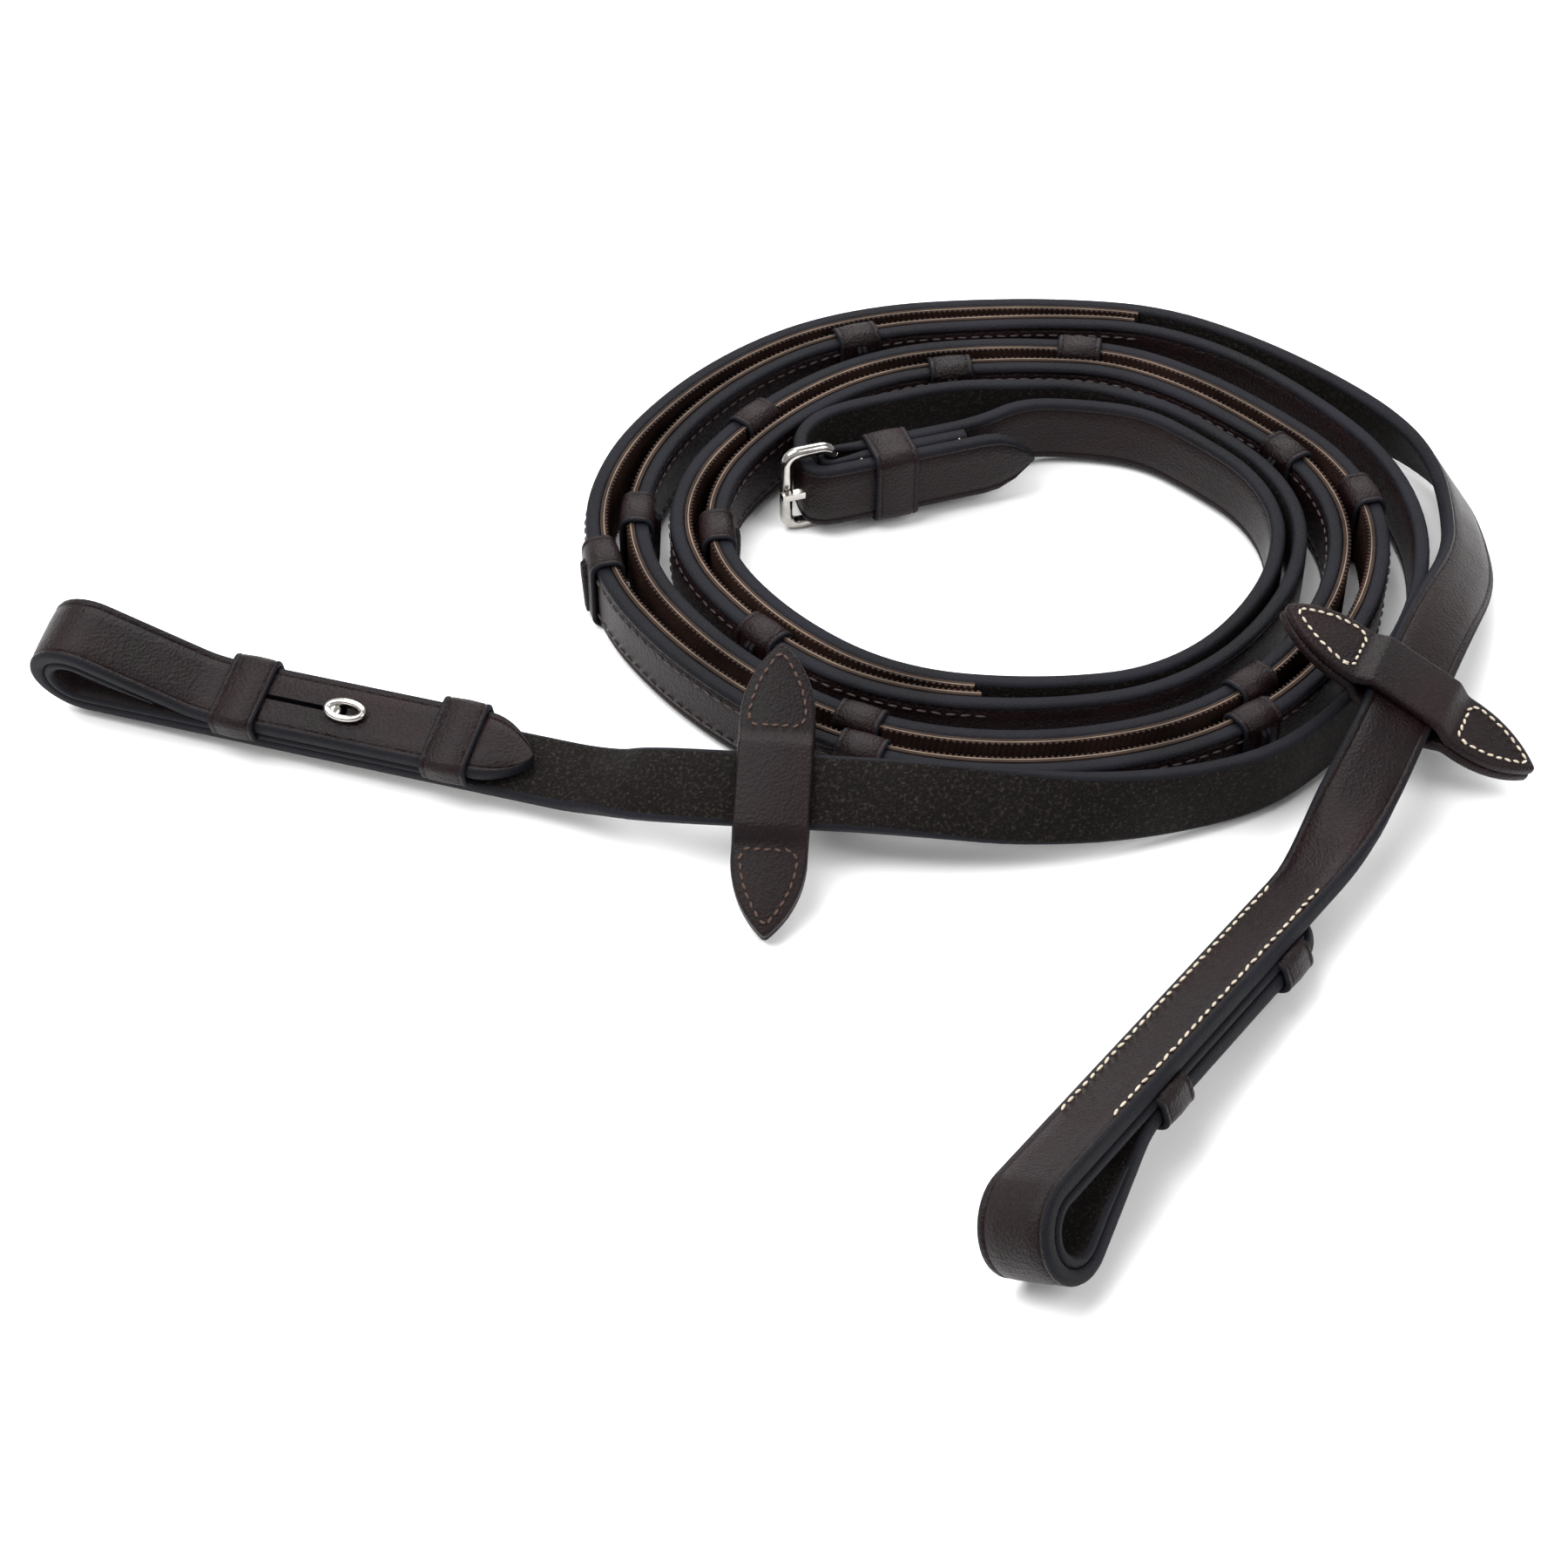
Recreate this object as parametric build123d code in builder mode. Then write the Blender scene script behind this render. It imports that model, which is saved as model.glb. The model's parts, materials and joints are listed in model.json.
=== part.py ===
from build123d import *
from math import asin, atan2, cos, degrees, hypot, pi, radians, sin, tan
import os

os.makedirs("parts", exist_ok=True)

# Leather reins: two straps, buckled together at the centre and coiled on edge.
# Origin: middle of the whole layout, on the surface that it lies on. +Z is up.
# The two reins lie side by side. Seen from above they run clockwise, from the
# buckle inside the coil out to the two bit ends.

# ---------------------------------------------------------------- sizes
strap_width = 16.0
leather = 3.4
lining = 1.8
band_leather = 1.4
edge_height = band_leather + strap_width / 2

# bit end: the strap turns round the bit loop and comes back as the billet
bit_lining = 2.2
billet_length = 115.0
loop_radius = 9.0
point_length = 12.0
keeper_width = 10.5
point_keeper_at = 17.5
loop_keeper_at = billet_length - 48.0
loop_join_at = billet_length - 39.0
loop_join_radius = 20.0
lining_start_at = 2.0
lining_end_at = billet_length - 29.0
keeper_clearance = 0.1
keeper_tab = 4.0
stud_at = 45.0
slot_end_at = stud_at + 17.0
stud_neck = 3.4
stud_hole = stud_neck + 1.0
slot_width = 1.2
stud_head_length = 10.0
stud_head_width = 6.0
stud_head_height = 1.5
stud_base = 8.0
stud_base_height = 0.8
strap_overlap = 5.0

# rein stops: two leaves sewn together at both ends, with the strap between
stop_length = 64.5
stop_width = 16.0
stop_leaf = 2.4
stop_clearance = 0.3
stop_point = 17.0
stop_slope = 3.4

# hand stops: bands sewn round the lined strap, with a seam on the grain side
hand_stops = 7
hand_stop_spacing = 89.0
hand_stop_width = 10.5
hand_stop_clearance = 0.45
hand_stop_face = 1.0
seam_depth = 1.3
seam_width = 2.8
seam_foot = 0.7
left_first_stop = 227.0
right_first_stop = 210.5

# buckle
bar = 3.0
fold_clearance = 0.2
frame_inside = strap_width + 1.6
frame_depth = 11.2
frame_bar_at = 22.5
tongue_rod = leather - bar / 2 - 0.1
tongue_slot = 3.6
buckle_keeper_at = 8.7
tail_turn_at = 28.0
tail_turn_radii = [40.0, 8.0, 4.5]
tongue_hole_from = 22.0
tongue_hole_to = 31.0
tongue_hole_low = 3.6
tongue_hole_high = 8.9
tongue_eye = 3.1
tongue_overhang = 1.8
return_end_at = -10.0
tip_end_at = -26.0
buckle_height = frame_inside / 2 + bar

# ---------------------------------------------------------------- the coil
# Reach of the pair from the coil's centre, and half the distance between the two
# straps, at every eighth of a turn, clockwise from the back right.
coil_centre = Vector(47.0, 65.0, 0)
eighth = 45
coil_step = 15
pair_reach = [58.3, 69.5, 66.5, 59.5, 60.5, 66.4, 61.0, 61.5, 71.7, 85.3,
              83.0, 78.7, 78.0, 85.2, 80.5, 78.4, 92.2, 101.6]
pair_half = [2.7, 2.5, 2.5, 3.6, 4.5, 5.0, 4.6, 4.9, 4.7, 5.3,
             5.2, 5.2, 5.2, 5.6, 4.7, 4.4, 3.7, 2.1]
left_reach = [reach - half for reach, half in zip(pair_reach, pair_half)] + [97.0]
right_reach = [reach + half for reach, half in zip(pair_reach, pair_half)][:-1]
lining_from = 9
lining_to = 47


def coil_points(reaches):
    """Corner points of one strap's coil, every coil_step degrees."""
    points = []
    steps = eighth // coil_step
    for step in range((len(reaches) - 1) * steps + 1):
        index, part = divmod(step, steps)
        reach = reaches[index]
        if part:
            blend = (1 - cos(pi * part / steps)) / 2
            reach += (reaches[index + 1] - reach) * blend
        reach /= cos(radians(coil_step / 2))
        angle = radians(eighth - step * coil_step)
        points.append(coil_centre + Vector(reach * cos(angle), reach * sin(angle), 0))
    return points


def corner_radii(points):
    """Arc radius at each inner corner: as large as the runs beside it allow."""
    radii = []
    for before, corner, after in zip(points, points[1:], points[2:]):
        run_in = corner - before
        run_out = after - corner
        turn = radians(run_in.get_angle(run_out))
        radii.append(0.45 * min(run_in.length, run_out.length) / tan(turn / 2))
    return radii


left_coil = coil_points(left_reach)
right_coil = coil_points(right_reach)
left_radii = corner_radii(left_coil)
right_radii = corner_radii(right_coil)


def side_turn(before, corner, after):
    """+1 where the route turns left, -1 where it turns right."""
    return 1 if (corner - before).cross(after - corner).Z > 0 else -1


def shifted(points, offset):
    """The route moved sideways to its left by offset, corner by corner."""
    moved = []
    for index, corner in enumerate(points):
        before = points[max(index - 1, 0)]
        after = points[min(index + 1, len(points) - 1)]
        run_in = (corner - before) if index else (after - corner)
        run_out = (after - corner) if index < len(points) - 1 else run_in
        left_in = Vector(-run_in.Y, run_in.X, 0).normalized()
        left_out = Vector(-run_out.Y, run_out.X, 0).normalized()
        middle = (left_in + left_out).normalized()
        moved.append(corner + middle * (offset / middle.dot(left_out)))
    return moved


def side_radii(points, radii, offset):
    """Corner radii of the shifted route, so that its arcs share their centres."""
    corners = zip(points, points[1:], points[2:])
    return [r - offset * side_turn(*corner) for corner, r in zip(corners, radii)]


def strip_edges(points, radii, first, last, low, high):
    """Edges of a strip along a route, from offset low to offset high. It starts
    and ends halfway along the runs after the corners first and last."""
    start = (points[first] + points[first + 1]) * 0.5
    end = (points[last] + points[last + 1]) * 0.5
    stretch = [start] + points[first + 1:last + 1] + [end]
    arcs = radii[first:last]
    near = FilletPolyline(*shifted(stretch, low), radius=side_radii(stretch, arcs, low))
    far = FilletPolyline(*shifted(stretch, high), radius=side_radii(stretch, arcs, high))
    Line(near @ 0, far @ 0)
    Line(near @ 1, far @ 1)


# ---------------------------------------------------------------- free stretches
# Route points of the stretches outside the coil: x and y from the coil's centre,
# height of the strap's middle, and roll (0 standing on edge, 90 lying with its
# outer face up).
buckle_origin = coil_centre + Vector(-15.0, 29.7, buckle_height)
buckle_along = Vector(-0.951, -0.309, 0).normalized()
buckle_plane = Plane(origin=buckle_origin, x_dir=buckle_along, z_dir=(0, 0, 1))

left_inner_points = [(10, 41.5, 10.6, 0), (24, 42.8, edge_height, 0)]
right_inner_points = [(9, 48.9, 10.6, 0), (26, 50.5, edge_height, 0)]

left_outer_points = [(54, -81, edge_height, 2), (30, -89, 10.8, 8), (6, -93, 13.8, 24),
                     (-21.7, -93.7, 18.0, 60), (-48.7, -92.0, 18.3, 60), (-75.7, -90.3, 18.6, 60)]
right_outer_points = [(87.5, 53, edge_height, 8), (103, 38, 9.2, 22), (110.5, 22, 9.0, 34),
                      (111.5, 4, 9.6, 42), (109.5, -14, 12.2, 48), (98.5, -38.4, 19.0, 64),
                      (87.5, -63.0, 19.7, 66), (76.5, -87.6, 19.8, 66)]
left_stop_index = 4
right_stop_index = 6
stop_travel = 5.0

# bit ends: place of the billet's point under the strap, direction, and roll
left_bit_origin = coil_centre + Vector(-99.6, -75.4, 8.4)
left_bit_along = Vector(-0.95, 0.31, -0.025).normalized()
left_bit_roll = 75
right_bit_origin = coil_centre + Vector(58.3, -115.4, 10.3)
right_bit_along = Vector(-0.569, -0.815, 0.113).normalized()
right_bit_roll = 116


def outward(along):
    """Level direction to the left of the route."""
    return Vector(-along.Y, along.X, 0).normalized()


def face_normal(along, roll):
    """Direction that the strap's outer face looks in."""
    side = outward(along)
    up = along.cross(side)
    if up.Z < 0:
        up = up * -1
    return side * cos(radians(roll)) + up * sin(radians(roll))


def strap_plane(place, along, roll):
    """Cross-section plane: X across the thickness, Y across the width."""
    return Plane(origin=place, x_dir=face_normal(along, roll), z_dir=along)


def blend_route(points):
    """Smooth route through the middles of the runs, as (place, along, roll)."""
    stations = []
    last = len(points) - 2
    for index in range(1, len(points) - 1):
        before, corner, after = points[index - 1], points[index], points[index + 1]
        start = before if index == 1 else middle_of(before, corner)
        end = after if index == last else middle_of(corner, after)
        parts = (0, 1 / 3, 2 / 3) if index < last else (0, 1 / 3, 2 / 3, 1)
        for part in parts:
            place = bend(start[0], corner[0], end[0], part)
            along = (corner[0] - start[0]) * (1 - part) + (end[0] - corner[0]) * part
            roll = bend(start[1], corner[1], end[1], part)
            stations.append((place, along.normalized(), roll))
    return stations


def middle_of(one, other):
    return ((one[0] + other[0]) * 0.5, (one[1] + other[1]) * 0.5)


def bend(start, corner, end, part):
    return start * (1 - part) ** 2 + corner * (2 * part * (1 - part)) + end * part ** 2


def free_points(points):
    return [(coil_centre + Vector(x, y, z), roll) for x, y, z, roll in points]


def lifted(point):
    return (Vector(point.X, point.Y, edge_height), 0)


def bit_place(origin, along, distance):
    return origin + along * distance


left_outer = [lifted((left_coil[-2] + left_coil[-1]) * 0.5), lifted(left_coil[-1])]
left_outer += free_points(left_outer_points)
left_outer += [(bit_place(left_bit_origin, left_bit_along, -strap_overlap - 7), left_bit_roll),
               (bit_place(left_bit_origin, left_bit_along, -strap_overlap), left_bit_roll)]
right_outer = [lifted((right_coil[-2] + right_coil[-1]) * 0.5), lifted(right_coil[-1])]
right_outer += free_points(right_outer_points)
right_outer += [(bit_place(right_bit_origin, right_bit_along, -strap_overlap - 7), right_bit_roll),
                (bit_place(right_bit_origin, right_bit_along, -strap_overlap), right_bit_roll)]

left_chape_start = -6.0
left_chape_middle = leather / 2
left_inner = [(buckle_plane.from_local_coords(Vector(left_chape_start, left_chape_middle, 0)), 0),
              (buckle_plane.from_local_coords(Vector(left_chape_start - 9, left_chape_middle, 0)), 0)]
left_inner += free_points(left_inner_points)
left_inner += [lifted(left_coil[0]), lifted((left_coil[0] + left_coil[1]) * 0.5)]

tail_back = [Vector(-6, -13.8, 0), Vector(14, -13.8, 0), Vector(tail_turn_at, -8, 0)]
right_inner = [(buckle_plane.from_local_coords(tail_back[0]), 0),
               (buckle_plane.from_local_coords(tail_back[0] - Vector(8, 0, 0)), 0)]
right_inner += free_points(right_inner_points)
right_inner += [lifted(right_coil[0]), lifted((right_coil[0] + right_coil[1]) * 0.5)]


def route_length(stations):
    return sum((b[0] - a[0]).length for a, b in zip(stations, stations[1:]))


def ribbon(route):
    """Loft one strap thickness along a free stretch, inside the current part."""
    sections = []
    for place, along, roll in blend_route(route):
        with BuildSketch(strap_plane(place, along, roll)) as section:
            Rectangle(leather, strap_width)
        sections.append(section.sketch)
    loft(sections, ruled=True)


# ---------------------------------------------------------------- bit ends
# Side view of a bit end: x along the strap towards the loop, from the billet's
# point, y from the middle of the main strap towards the billet.
billet_middle = leather + bit_lining
loop_centre = (billet_length - leather / 2 - loop_radius, loop_radius)
join_rise = loop_centre[1] - billet_middle
join_run = loop_centre[0] - loop_join_at
join_slope = degrees(atan2(join_rise, join_run) + asin(loop_radius / hypot(join_run, join_rise)))


def loop_side(offset, start, end):
    """One side of the leather round the bit loop, offset outwards from its middle."""
    radius = loop_radius + offset
    main = Line((start, -offset), (loop_centre[0], -offset))
    around = CenterArc(loop_centre, radius, -90, 180 + join_slope)
    join = (loop_join_at - offset * tan(radians(join_slope / 2)), billet_middle + offset)
    if end > loop_join_at:
        reach = (end - join[0]) * tan(radians(join_slope))
        tail = Line(around @ 1, (end, join[1] + reach))
    else:
        tail = FilletPolyline(around @ 1, join, (end, join[1]), radius=loop_join_radius - offset)
    return main @ 0, tail @ 1


def bit_planes(origin, along, roll, billet_side):
    """Side-view plane and billet-face plane of a bit end."""
    billet_normal = face_normal(along, roll) * billet_side
    across = along.cross(billet_normal)
    side_view = Plane(origin=origin, x_dir=along, z_dir=across)
    face_view = Plane(origin=origin, x_dir=along, z_dir=billet_normal)
    cross_view = Plane(origin=origin, x_dir=across * -1, z_dir=along)
    return side_view, face_view, cross_view


left_planes = bit_planes(left_bit_origin, left_bit_along, left_bit_roll, 1)
right_planes = bit_planes(right_bit_origin, right_bit_along, right_bit_roll, -1)


def bit_leather(planes, low, high, start, end):
    """Leather between two offsets, round the bit loop, inside the current part."""
    with BuildSketch(planes[0]) as side_view:
        with BuildLine():
            outer = loop_side(high, start, end)
            inner = loop_side(low, start, end)
            Line(outer[0], inner[0])
            Line(outer[1], inner[1])
        make_face()
    extrude(side_view.sketch, amount=strap_width / 2, both=True)


def point_cuts(plane, length, half):
    """Outlines to cut away at a pointed end; the plane's x runs from the point."""
    with BuildSketch(plane) as cuts:
        for side in (1, -1):
            with BuildLine():
                Polyline((0, 0), (-1, 0), (-1, side * (half + 1)), (length, side * (half + 1)),
                         (length, side * half))
                ThreePointArc((length, side * half), (length * 0.36, side * half * 0.66), (0, 0))
            make_face()
    return cuts.sketch


def cut_billet(planes):
    """Point the billet and cut its slot and stud hole, inside the current part."""
    billet_back = planes[1].offset(leather / 2 + bit_lining)
    extrude(point_cuts(billet_back, point_length, strap_width / 2), amount=leather, mode=Mode.SUBTRACT)
    with BuildSketch(billet_back) as cuts:
        with Locations((stud_at, 0)):
            Circle(stud_hole / 2)
        with Locations(((stud_at + slot_end_at) / 2, 0)):
            Rectangle(slot_end_at - stud_at, slot_width)
    extrude(cuts.sketch, amount=leather, mode=Mode.SUBTRACT)


def bit_keeper(planes, middle):
    """A fixed leather loop over the billet. Its ends turn in under the bit lining."""
    half = strap_width / 2 + keeper_clearance
    low = leather / 2
    high = low + bit_lining + leather + keeper_clearance
    with BuildPart() as keeper:
        with BuildSketch(planes[2].offset(middle - keeper_width / 2)):
            with Locations((0, (low + high + band_leather) / 2)):
                RectangleRounded(2 * (half + band_leather), high + band_leather - low, band_leather * 0.6)
            with Locations((0, (low + band_leather + high) / 2)):
                Rectangle(2 * half, high - low - band_leather, mode=Mode.SUBTRACT)
            with Locations((0, low + band_leather / 2)):
                Rectangle(2 * (half - keeper_tab), band_leather, mode=Mode.SUBTRACT)
        extrude(amount=keeper_width)
    return keeper.part


def keeper_seats(planes):
    """Cut the bit lining back where the keepers' ends turn in under it."""
    with BuildSketch(planes[1].offset(leather / 2)) as seats:
        for middle in (loop_keeper_at, point_keeper_at):
            for edge in (1, -1):
                with Locations((middle, edge * strap_width / 2)):
                    Rectangle(keeper_width, 2 * keeper_tab)
    extrude(seats.sketch, amount=band_leather, mode=Mode.SUBTRACT)


def hook_stud(planes):
    """Flat base in the bit lining, neck through the billet, long head over it."""
    base_plane = planes[1].offset(leather / 2)
    head_from = leather + bit_lining + leather / 2 + 0.3
    with BuildPart() as stud:
        with BuildSketch(base_plane):
            with Locations((stud_at, 0)):
                Circle(stud_base / 2)
        extrude(amount=stud_base_height)
        with BuildSketch(base_plane):
            with Locations((stud_at, 0)):
                Circle(stud_neck / 2)
        extrude(amount=head_from - leather / 2)
        with BuildSketch(planes[1].offset(head_from)):
            with Locations((stud_at - 2, 0)):
                Ellipse(stud_head_length / 2, stud_head_width / 2)
        extrude(amount=stud_head_height)
    return stud.part


# ---------------------------------------------------------------- rein straps
with BuildPart() as left_strap:
    with BuildSketch(Plane.XY.offset(band_leather)):
        with BuildLine():
            strip_edges(left_coil, left_radii, 0, len(left_coil) - 2, -leather / 2, leather / 2)
        make_face()
    extrude(amount=strap_width)
    ribbon(left_inner)
    ribbon(left_outer)
    bit_leather(left_planes, -leather / 2, leather / 2, -strap_overlap, 0)
    cut_billet(left_planes)
    # chape: the centre end, folded round the buckle bar and sewn down
    with BuildSketch(buckle_plane.offset(-strap_width / 2)):
        with BuildLine():
            Polyline((frame_bar_at, 0), (left_chape_start, 0), (left_chape_start, leather),
                     (return_end_at, leather), (return_end_at, 2 * leather), (frame_bar_at, 2 * leather))
            ThreePointArc((frame_bar_at, 2 * leather), (frame_bar_at + leather, leather), (frame_bar_at, 0))
        make_face()
        with Locations((frame_bar_at, leather)):
            Circle(bar / 2 + fold_clearance, mode=Mode.SUBTRACT)
    extrude(amount=strap_width)
    with BuildSketch(buckle_plane.offset(-tongue_slot / 2)):
        with Locations((frame_bar_at + 1, leather)):
            Rectangle(9, 2 * leather + 1)
    extrude(amount=tongue_slot, mode=Mode.SUBTRACT)
left_strap.part.label = "left_rein_strap"
export_step(left_strap.part, "parts/left_rein_strap.step")

with BuildPart() as right_strap:
    with BuildSketch(Plane.XY.offset(band_leather)):
        with BuildLine():
            strip_edges(right_coil, right_radii, 0, len(right_coil) - 2, -leather / 2, leather / 2)
        make_face()
    extrude(amount=strap_width)
    ribbon(right_inner)
    ribbon(right_outer)
    bit_leather(right_planes, -leather / 2, leather / 2, -strap_overlap, 0)
    cut_billet(right_planes)
    # tail: the centre end goes through the buckle and turns back over the chape
    tail_front = 2.5 * leather
    tail = tail_back + [Vector(tail_turn_at, tail_front, 0), Vector(tip_end_at, tail_front, 0)]
    with BuildSketch(buckle_plane.offset(-strap_width / 2)):
        with BuildLine():
            tail_inside = FilletPolyline(*shifted(tail, leather / 2),
                                         radius=side_radii(tail, tail_turn_radii, leather / 2))
            tail_outside = FilletPolyline(*shifted(tail, -leather / 2),
                                          radius=side_radii(tail, tail_turn_radii, -leather / 2))
            Line(tail_inside @ 0, tail_outside @ 0)
            Line(tail_inside @ 1, tail_outside @ 1)
        make_face()
    extrude(amount=strap_width)
    tip_plane = Plane(origin=buckle_plane.from_local_coords(Vector(tip_end_at, 2 * leather, 0)),
                      x_dir=buckle_along, z_dir=buckle_plane.y_dir)
    extrude(point_cuts(tip_plane, point_length, strap_width / 2), amount=leather, mode=Mode.SUBTRACT)
    with BuildSketch(buckle_plane.offset(-tongue_slot / 2)):
        with Locations(((tongue_hole_from + tongue_hole_to) / 2, (tongue_hole_low + tongue_hole_high) / 2)):
            Rectangle(tongue_hole_to - tongue_hole_from, tongue_hole_high - tongue_hole_low)
    extrude(amount=tongue_slot, mode=Mode.SUBTRACT)
right_strap.part.label = "right_rein_strap"
export_step(right_strap.part, "parts/right_rein_strap.step")

# ---------------------------------------------------------------- grip linings
with BuildPart() as left_lining:
    with BuildSketch(Plane.XY.offset(band_leather)):
        with BuildLine():
            strip_edges(left_coil, left_radii, lining_from, lining_to, leather / 2, leather / 2 + lining)
        make_face()
    extrude(amount=strap_width)
left_lining.part.label = "left_grip_lining"
export_step(left_lining.part, "parts/left_grip_lining.step")

with BuildPart() as right_lining:
    with BuildSketch(Plane.XY.offset(band_leather)):
        with BuildLine():
            strip_edges(right_coil, right_radii, lining_from, lining_to, -leather / 2 - lining, -leather / 2)
        make_face()
    extrude(amount=strap_width)
right_lining.part.label = "right_grip_lining"
export_step(right_lining.part, "parts/right_grip_lining.step")


# ---------------------------------------------------------------- hand stops
def coil_stations(points):
    """Smooth coil route as (place, along, roll)."""
    corners = [((points[0] + points[1]) * 0.5, 0)]
    corners += [(point, 0) for point in points[1:-1]]
    corners.append(((points[-2] + points[-1]) * 0.5, 0))
    return blend_route(corners)


def place_along(points, distance):
    """Place and direction at a distance along the strap from the coil's start."""
    stations = coil_stations(points)
    walked = 0
    for here, there in zip(stations, stations[1:]):
        step = (there[0] - here[0]).length
        if walked + step >= distance:
            part = (distance - walked) / step
            along = here[1] * (1 - part) + there[1] * part
            return here[0] + (there[0] - here[0]) * part, along.normalized()
        walked += step
    return stations[-1][0], stations[-1][1]


def hand_stop(points, distance, grain_side):
    """Band round strap and lining, with its sewn seam standing off the grain side."""
    place, along = place_along(points, distance)
    grain = outward(along) * grain_side
    section = Plane(origin=Vector(place.X, place.Y, 0), x_dir=grain, z_dir=along)
    up = 1 if section.y_dir.Z > 0 else -1
    grain_face = leather / 2 + hand_stop_clearance
    lining_face = leather / 2 + lining + hand_stop_clearance
    band_top = strap_width + 2 * band_leather
    with BuildPart() as band:
        with BuildSketch(section.offset(-hand_stop_width / 2)):
            with Locations(((grain_face - lining_face) / 2, up * band_top / 2)):
                RectangleRounded(grain_face + lining_face + 2 * hand_stop_face, band_top, hand_stop_face / 2)
                Rectangle(grain_face + lining_face, strap_width, mode=Mode.SUBTRACT)
        extrude(amount=hand_stop_width)
        with BuildSketch(section.offset(-seam_width / 2)):
            seam_from = grain_face + hand_stop_face / 2
            seam_face = grain_face + hand_stop_face
            with BuildLine():
                Polyline((seam_from, up * band_leather), (seam_face + seam_foot, up * band_leather),
                         (seam_face + seam_depth, up * strap_width * 0.7),
                         (seam_face + seam_depth, up * strap_width * 0.9),
                         (seam_from, up * (strap_width + band_leather)), close=True)
            make_face()
        extrude(amount=seam_width)
    return band.part


for number in range(hand_stops):
    distance = left_first_stop + number * hand_stop_spacing
    left_band = hand_stop(left_coil, distance, -1)
    left_band.label = f"left_hand_stop_{number + 1}"
    export_step(left_band, f"parts/{left_band.label}.step")
    distance = right_first_stop + number * hand_stop_spacing
    right_band = hand_stop(right_coil, distance, 1)
    right_band.label = f"right_hand_stop_{number + 1}"
    export_step(right_band, f"parts/{right_band.label}.step")

# ---------------------------------------------------------------- bit end pieces
for side, planes in (("left", left_planes), ("right", right_planes)):
    with BuildPart() as bit_strip:
        bit_leather(planes, -leather / 2 - bit_lining, -leather / 2, lining_start_at, lining_end_at)
        with BuildSketch(planes[1].offset(leather / 2)) as base_pocket:
            with Locations((stud_at, 0)):
                Circle(stud_base / 2)
        extrude(base_pocket.sketch, amount=stud_base_height, mode=Mode.SUBTRACT)
        with BuildSketch(planes[1].offset(leather / 2)) as neck_hole:
            with Locations((stud_at, 0)):
                Circle(stud_neck / 2)
        extrude(neck_hole.sketch, amount=bit_lining, mode=Mode.SUBTRACT)
        keeper_seats(planes)
    bit_strip.part.label = f"{side}_bit_lining"
    export_step(bit_strip.part, f"parts/{side}_bit_lining.step")

    stud = hook_stud(planes)
    stud.label = f"{side}_hook_stud"
    export_step(stud, f"parts/{side}_hook_stud.step")

    loop_keeper = bit_keeper(planes, loop_keeper_at)
    loop_keeper.label = f"{side}_loop_keeper"
    export_step(loop_keeper, f"parts/{side}_loop_keeper.step")

    point_keeper = bit_keeper(planes, point_keeper_at)
    point_keeper.label = f"{side}_point_keeper"
    export_step(point_keeper, f"parts/{side}_point_keeper.step")


# ---------------------------------------------------------------- rein stops
def stop_leaf_part(place, along, roll, face):
    """One leaf of a rein stop: face is 1 for the strap's outer side, -1 for its inner side."""
    normal = face_normal(along, roll) * face
    long_axis = along.cross(normal)
    profile_plane = Plane(origin=place, x_dir=long_axis, z_dir=along)
    rise = 1 if profile_plane.y_dir.dot(normal) > 0 else -1
    outline_plane = Plane(origin=place, x_dir=long_axis, z_dir=normal)
    gap = leather / 2 + stop_clearance
    bridge = strap_width / 2 + stop_clearance
    foot = bridge + stop_slope
    corner = stop_leaf * tan(atan2(gap, stop_slope) / 2)
    half = stop_length / 2
    with BuildPart() as leaf:
        with BuildSketch(profile_plane):
            with BuildLine():
                Polyline((-half, 0), (-foot, 0), (-bridge, rise * gap), (bridge, rise * gap), (foot, 0),
                         (half, 0), (half, rise * stop_leaf), (foot + corner, rise * stop_leaf),
                         (bridge + corner, rise * (gap + stop_leaf)),
                         (-bridge - corner, rise * (gap + stop_leaf)),
                         (-foot - corner, rise * stop_leaf), (-half, rise * stop_leaf), close=True)
            make_face()
        extrude(amount=stop_width, both=True)
        with BuildSketch(outline_plane):
            with BuildLine():
                shoulder = half - stop_point
                Line((-shoulder, stop_width / 2), (shoulder, stop_width / 2))
                ThreePointArc((shoulder, stop_width / 2), (half - stop_point * 0.38, stop_width * 0.33),
                              (half, 0))
                ThreePointArc((half, 0), (half - stop_point * 0.38, -stop_width * 0.33),
                              (shoulder, -stop_width / 2))
                Line((shoulder, -stop_width / 2), (-shoulder, -stop_width / 2))
                ThreePointArc((-shoulder, -stop_width / 2), (stop_point * 0.38 - half, -stop_width * 0.33),
                              (-half, 0))
                ThreePointArc((-half, 0), (stop_point * 0.38 - half, stop_width * 0.33),
                              (-shoulder, stop_width / 2))
            make_face()
        extrude(amount=gap + 2 * stop_leaf, both=True, mode=Mode.INTERSECT)
    return leaf.part


for side, route, index in (("left", free_points(left_outer_points), left_stop_index),
                           ("right", free_points(right_outer_points), right_stop_index)):
    before, here, after = [place for place, roll in route[index - 1:index + 2]]
    roll = route[index][1]
    for leaf_name, face in (("upper", 1), ("lower", -1)):
        leaf = stop_leaf_part(here, (after - before).normalized(), roll, face)
        leaf.label = f"{side}_rein_stop_{leaf_name}_leaf"
        export_step(leaf, f"parts/{leaf.label}.step")
    print(side, "rein stop centre", here, "slides along", (after - before).normalized())

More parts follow.
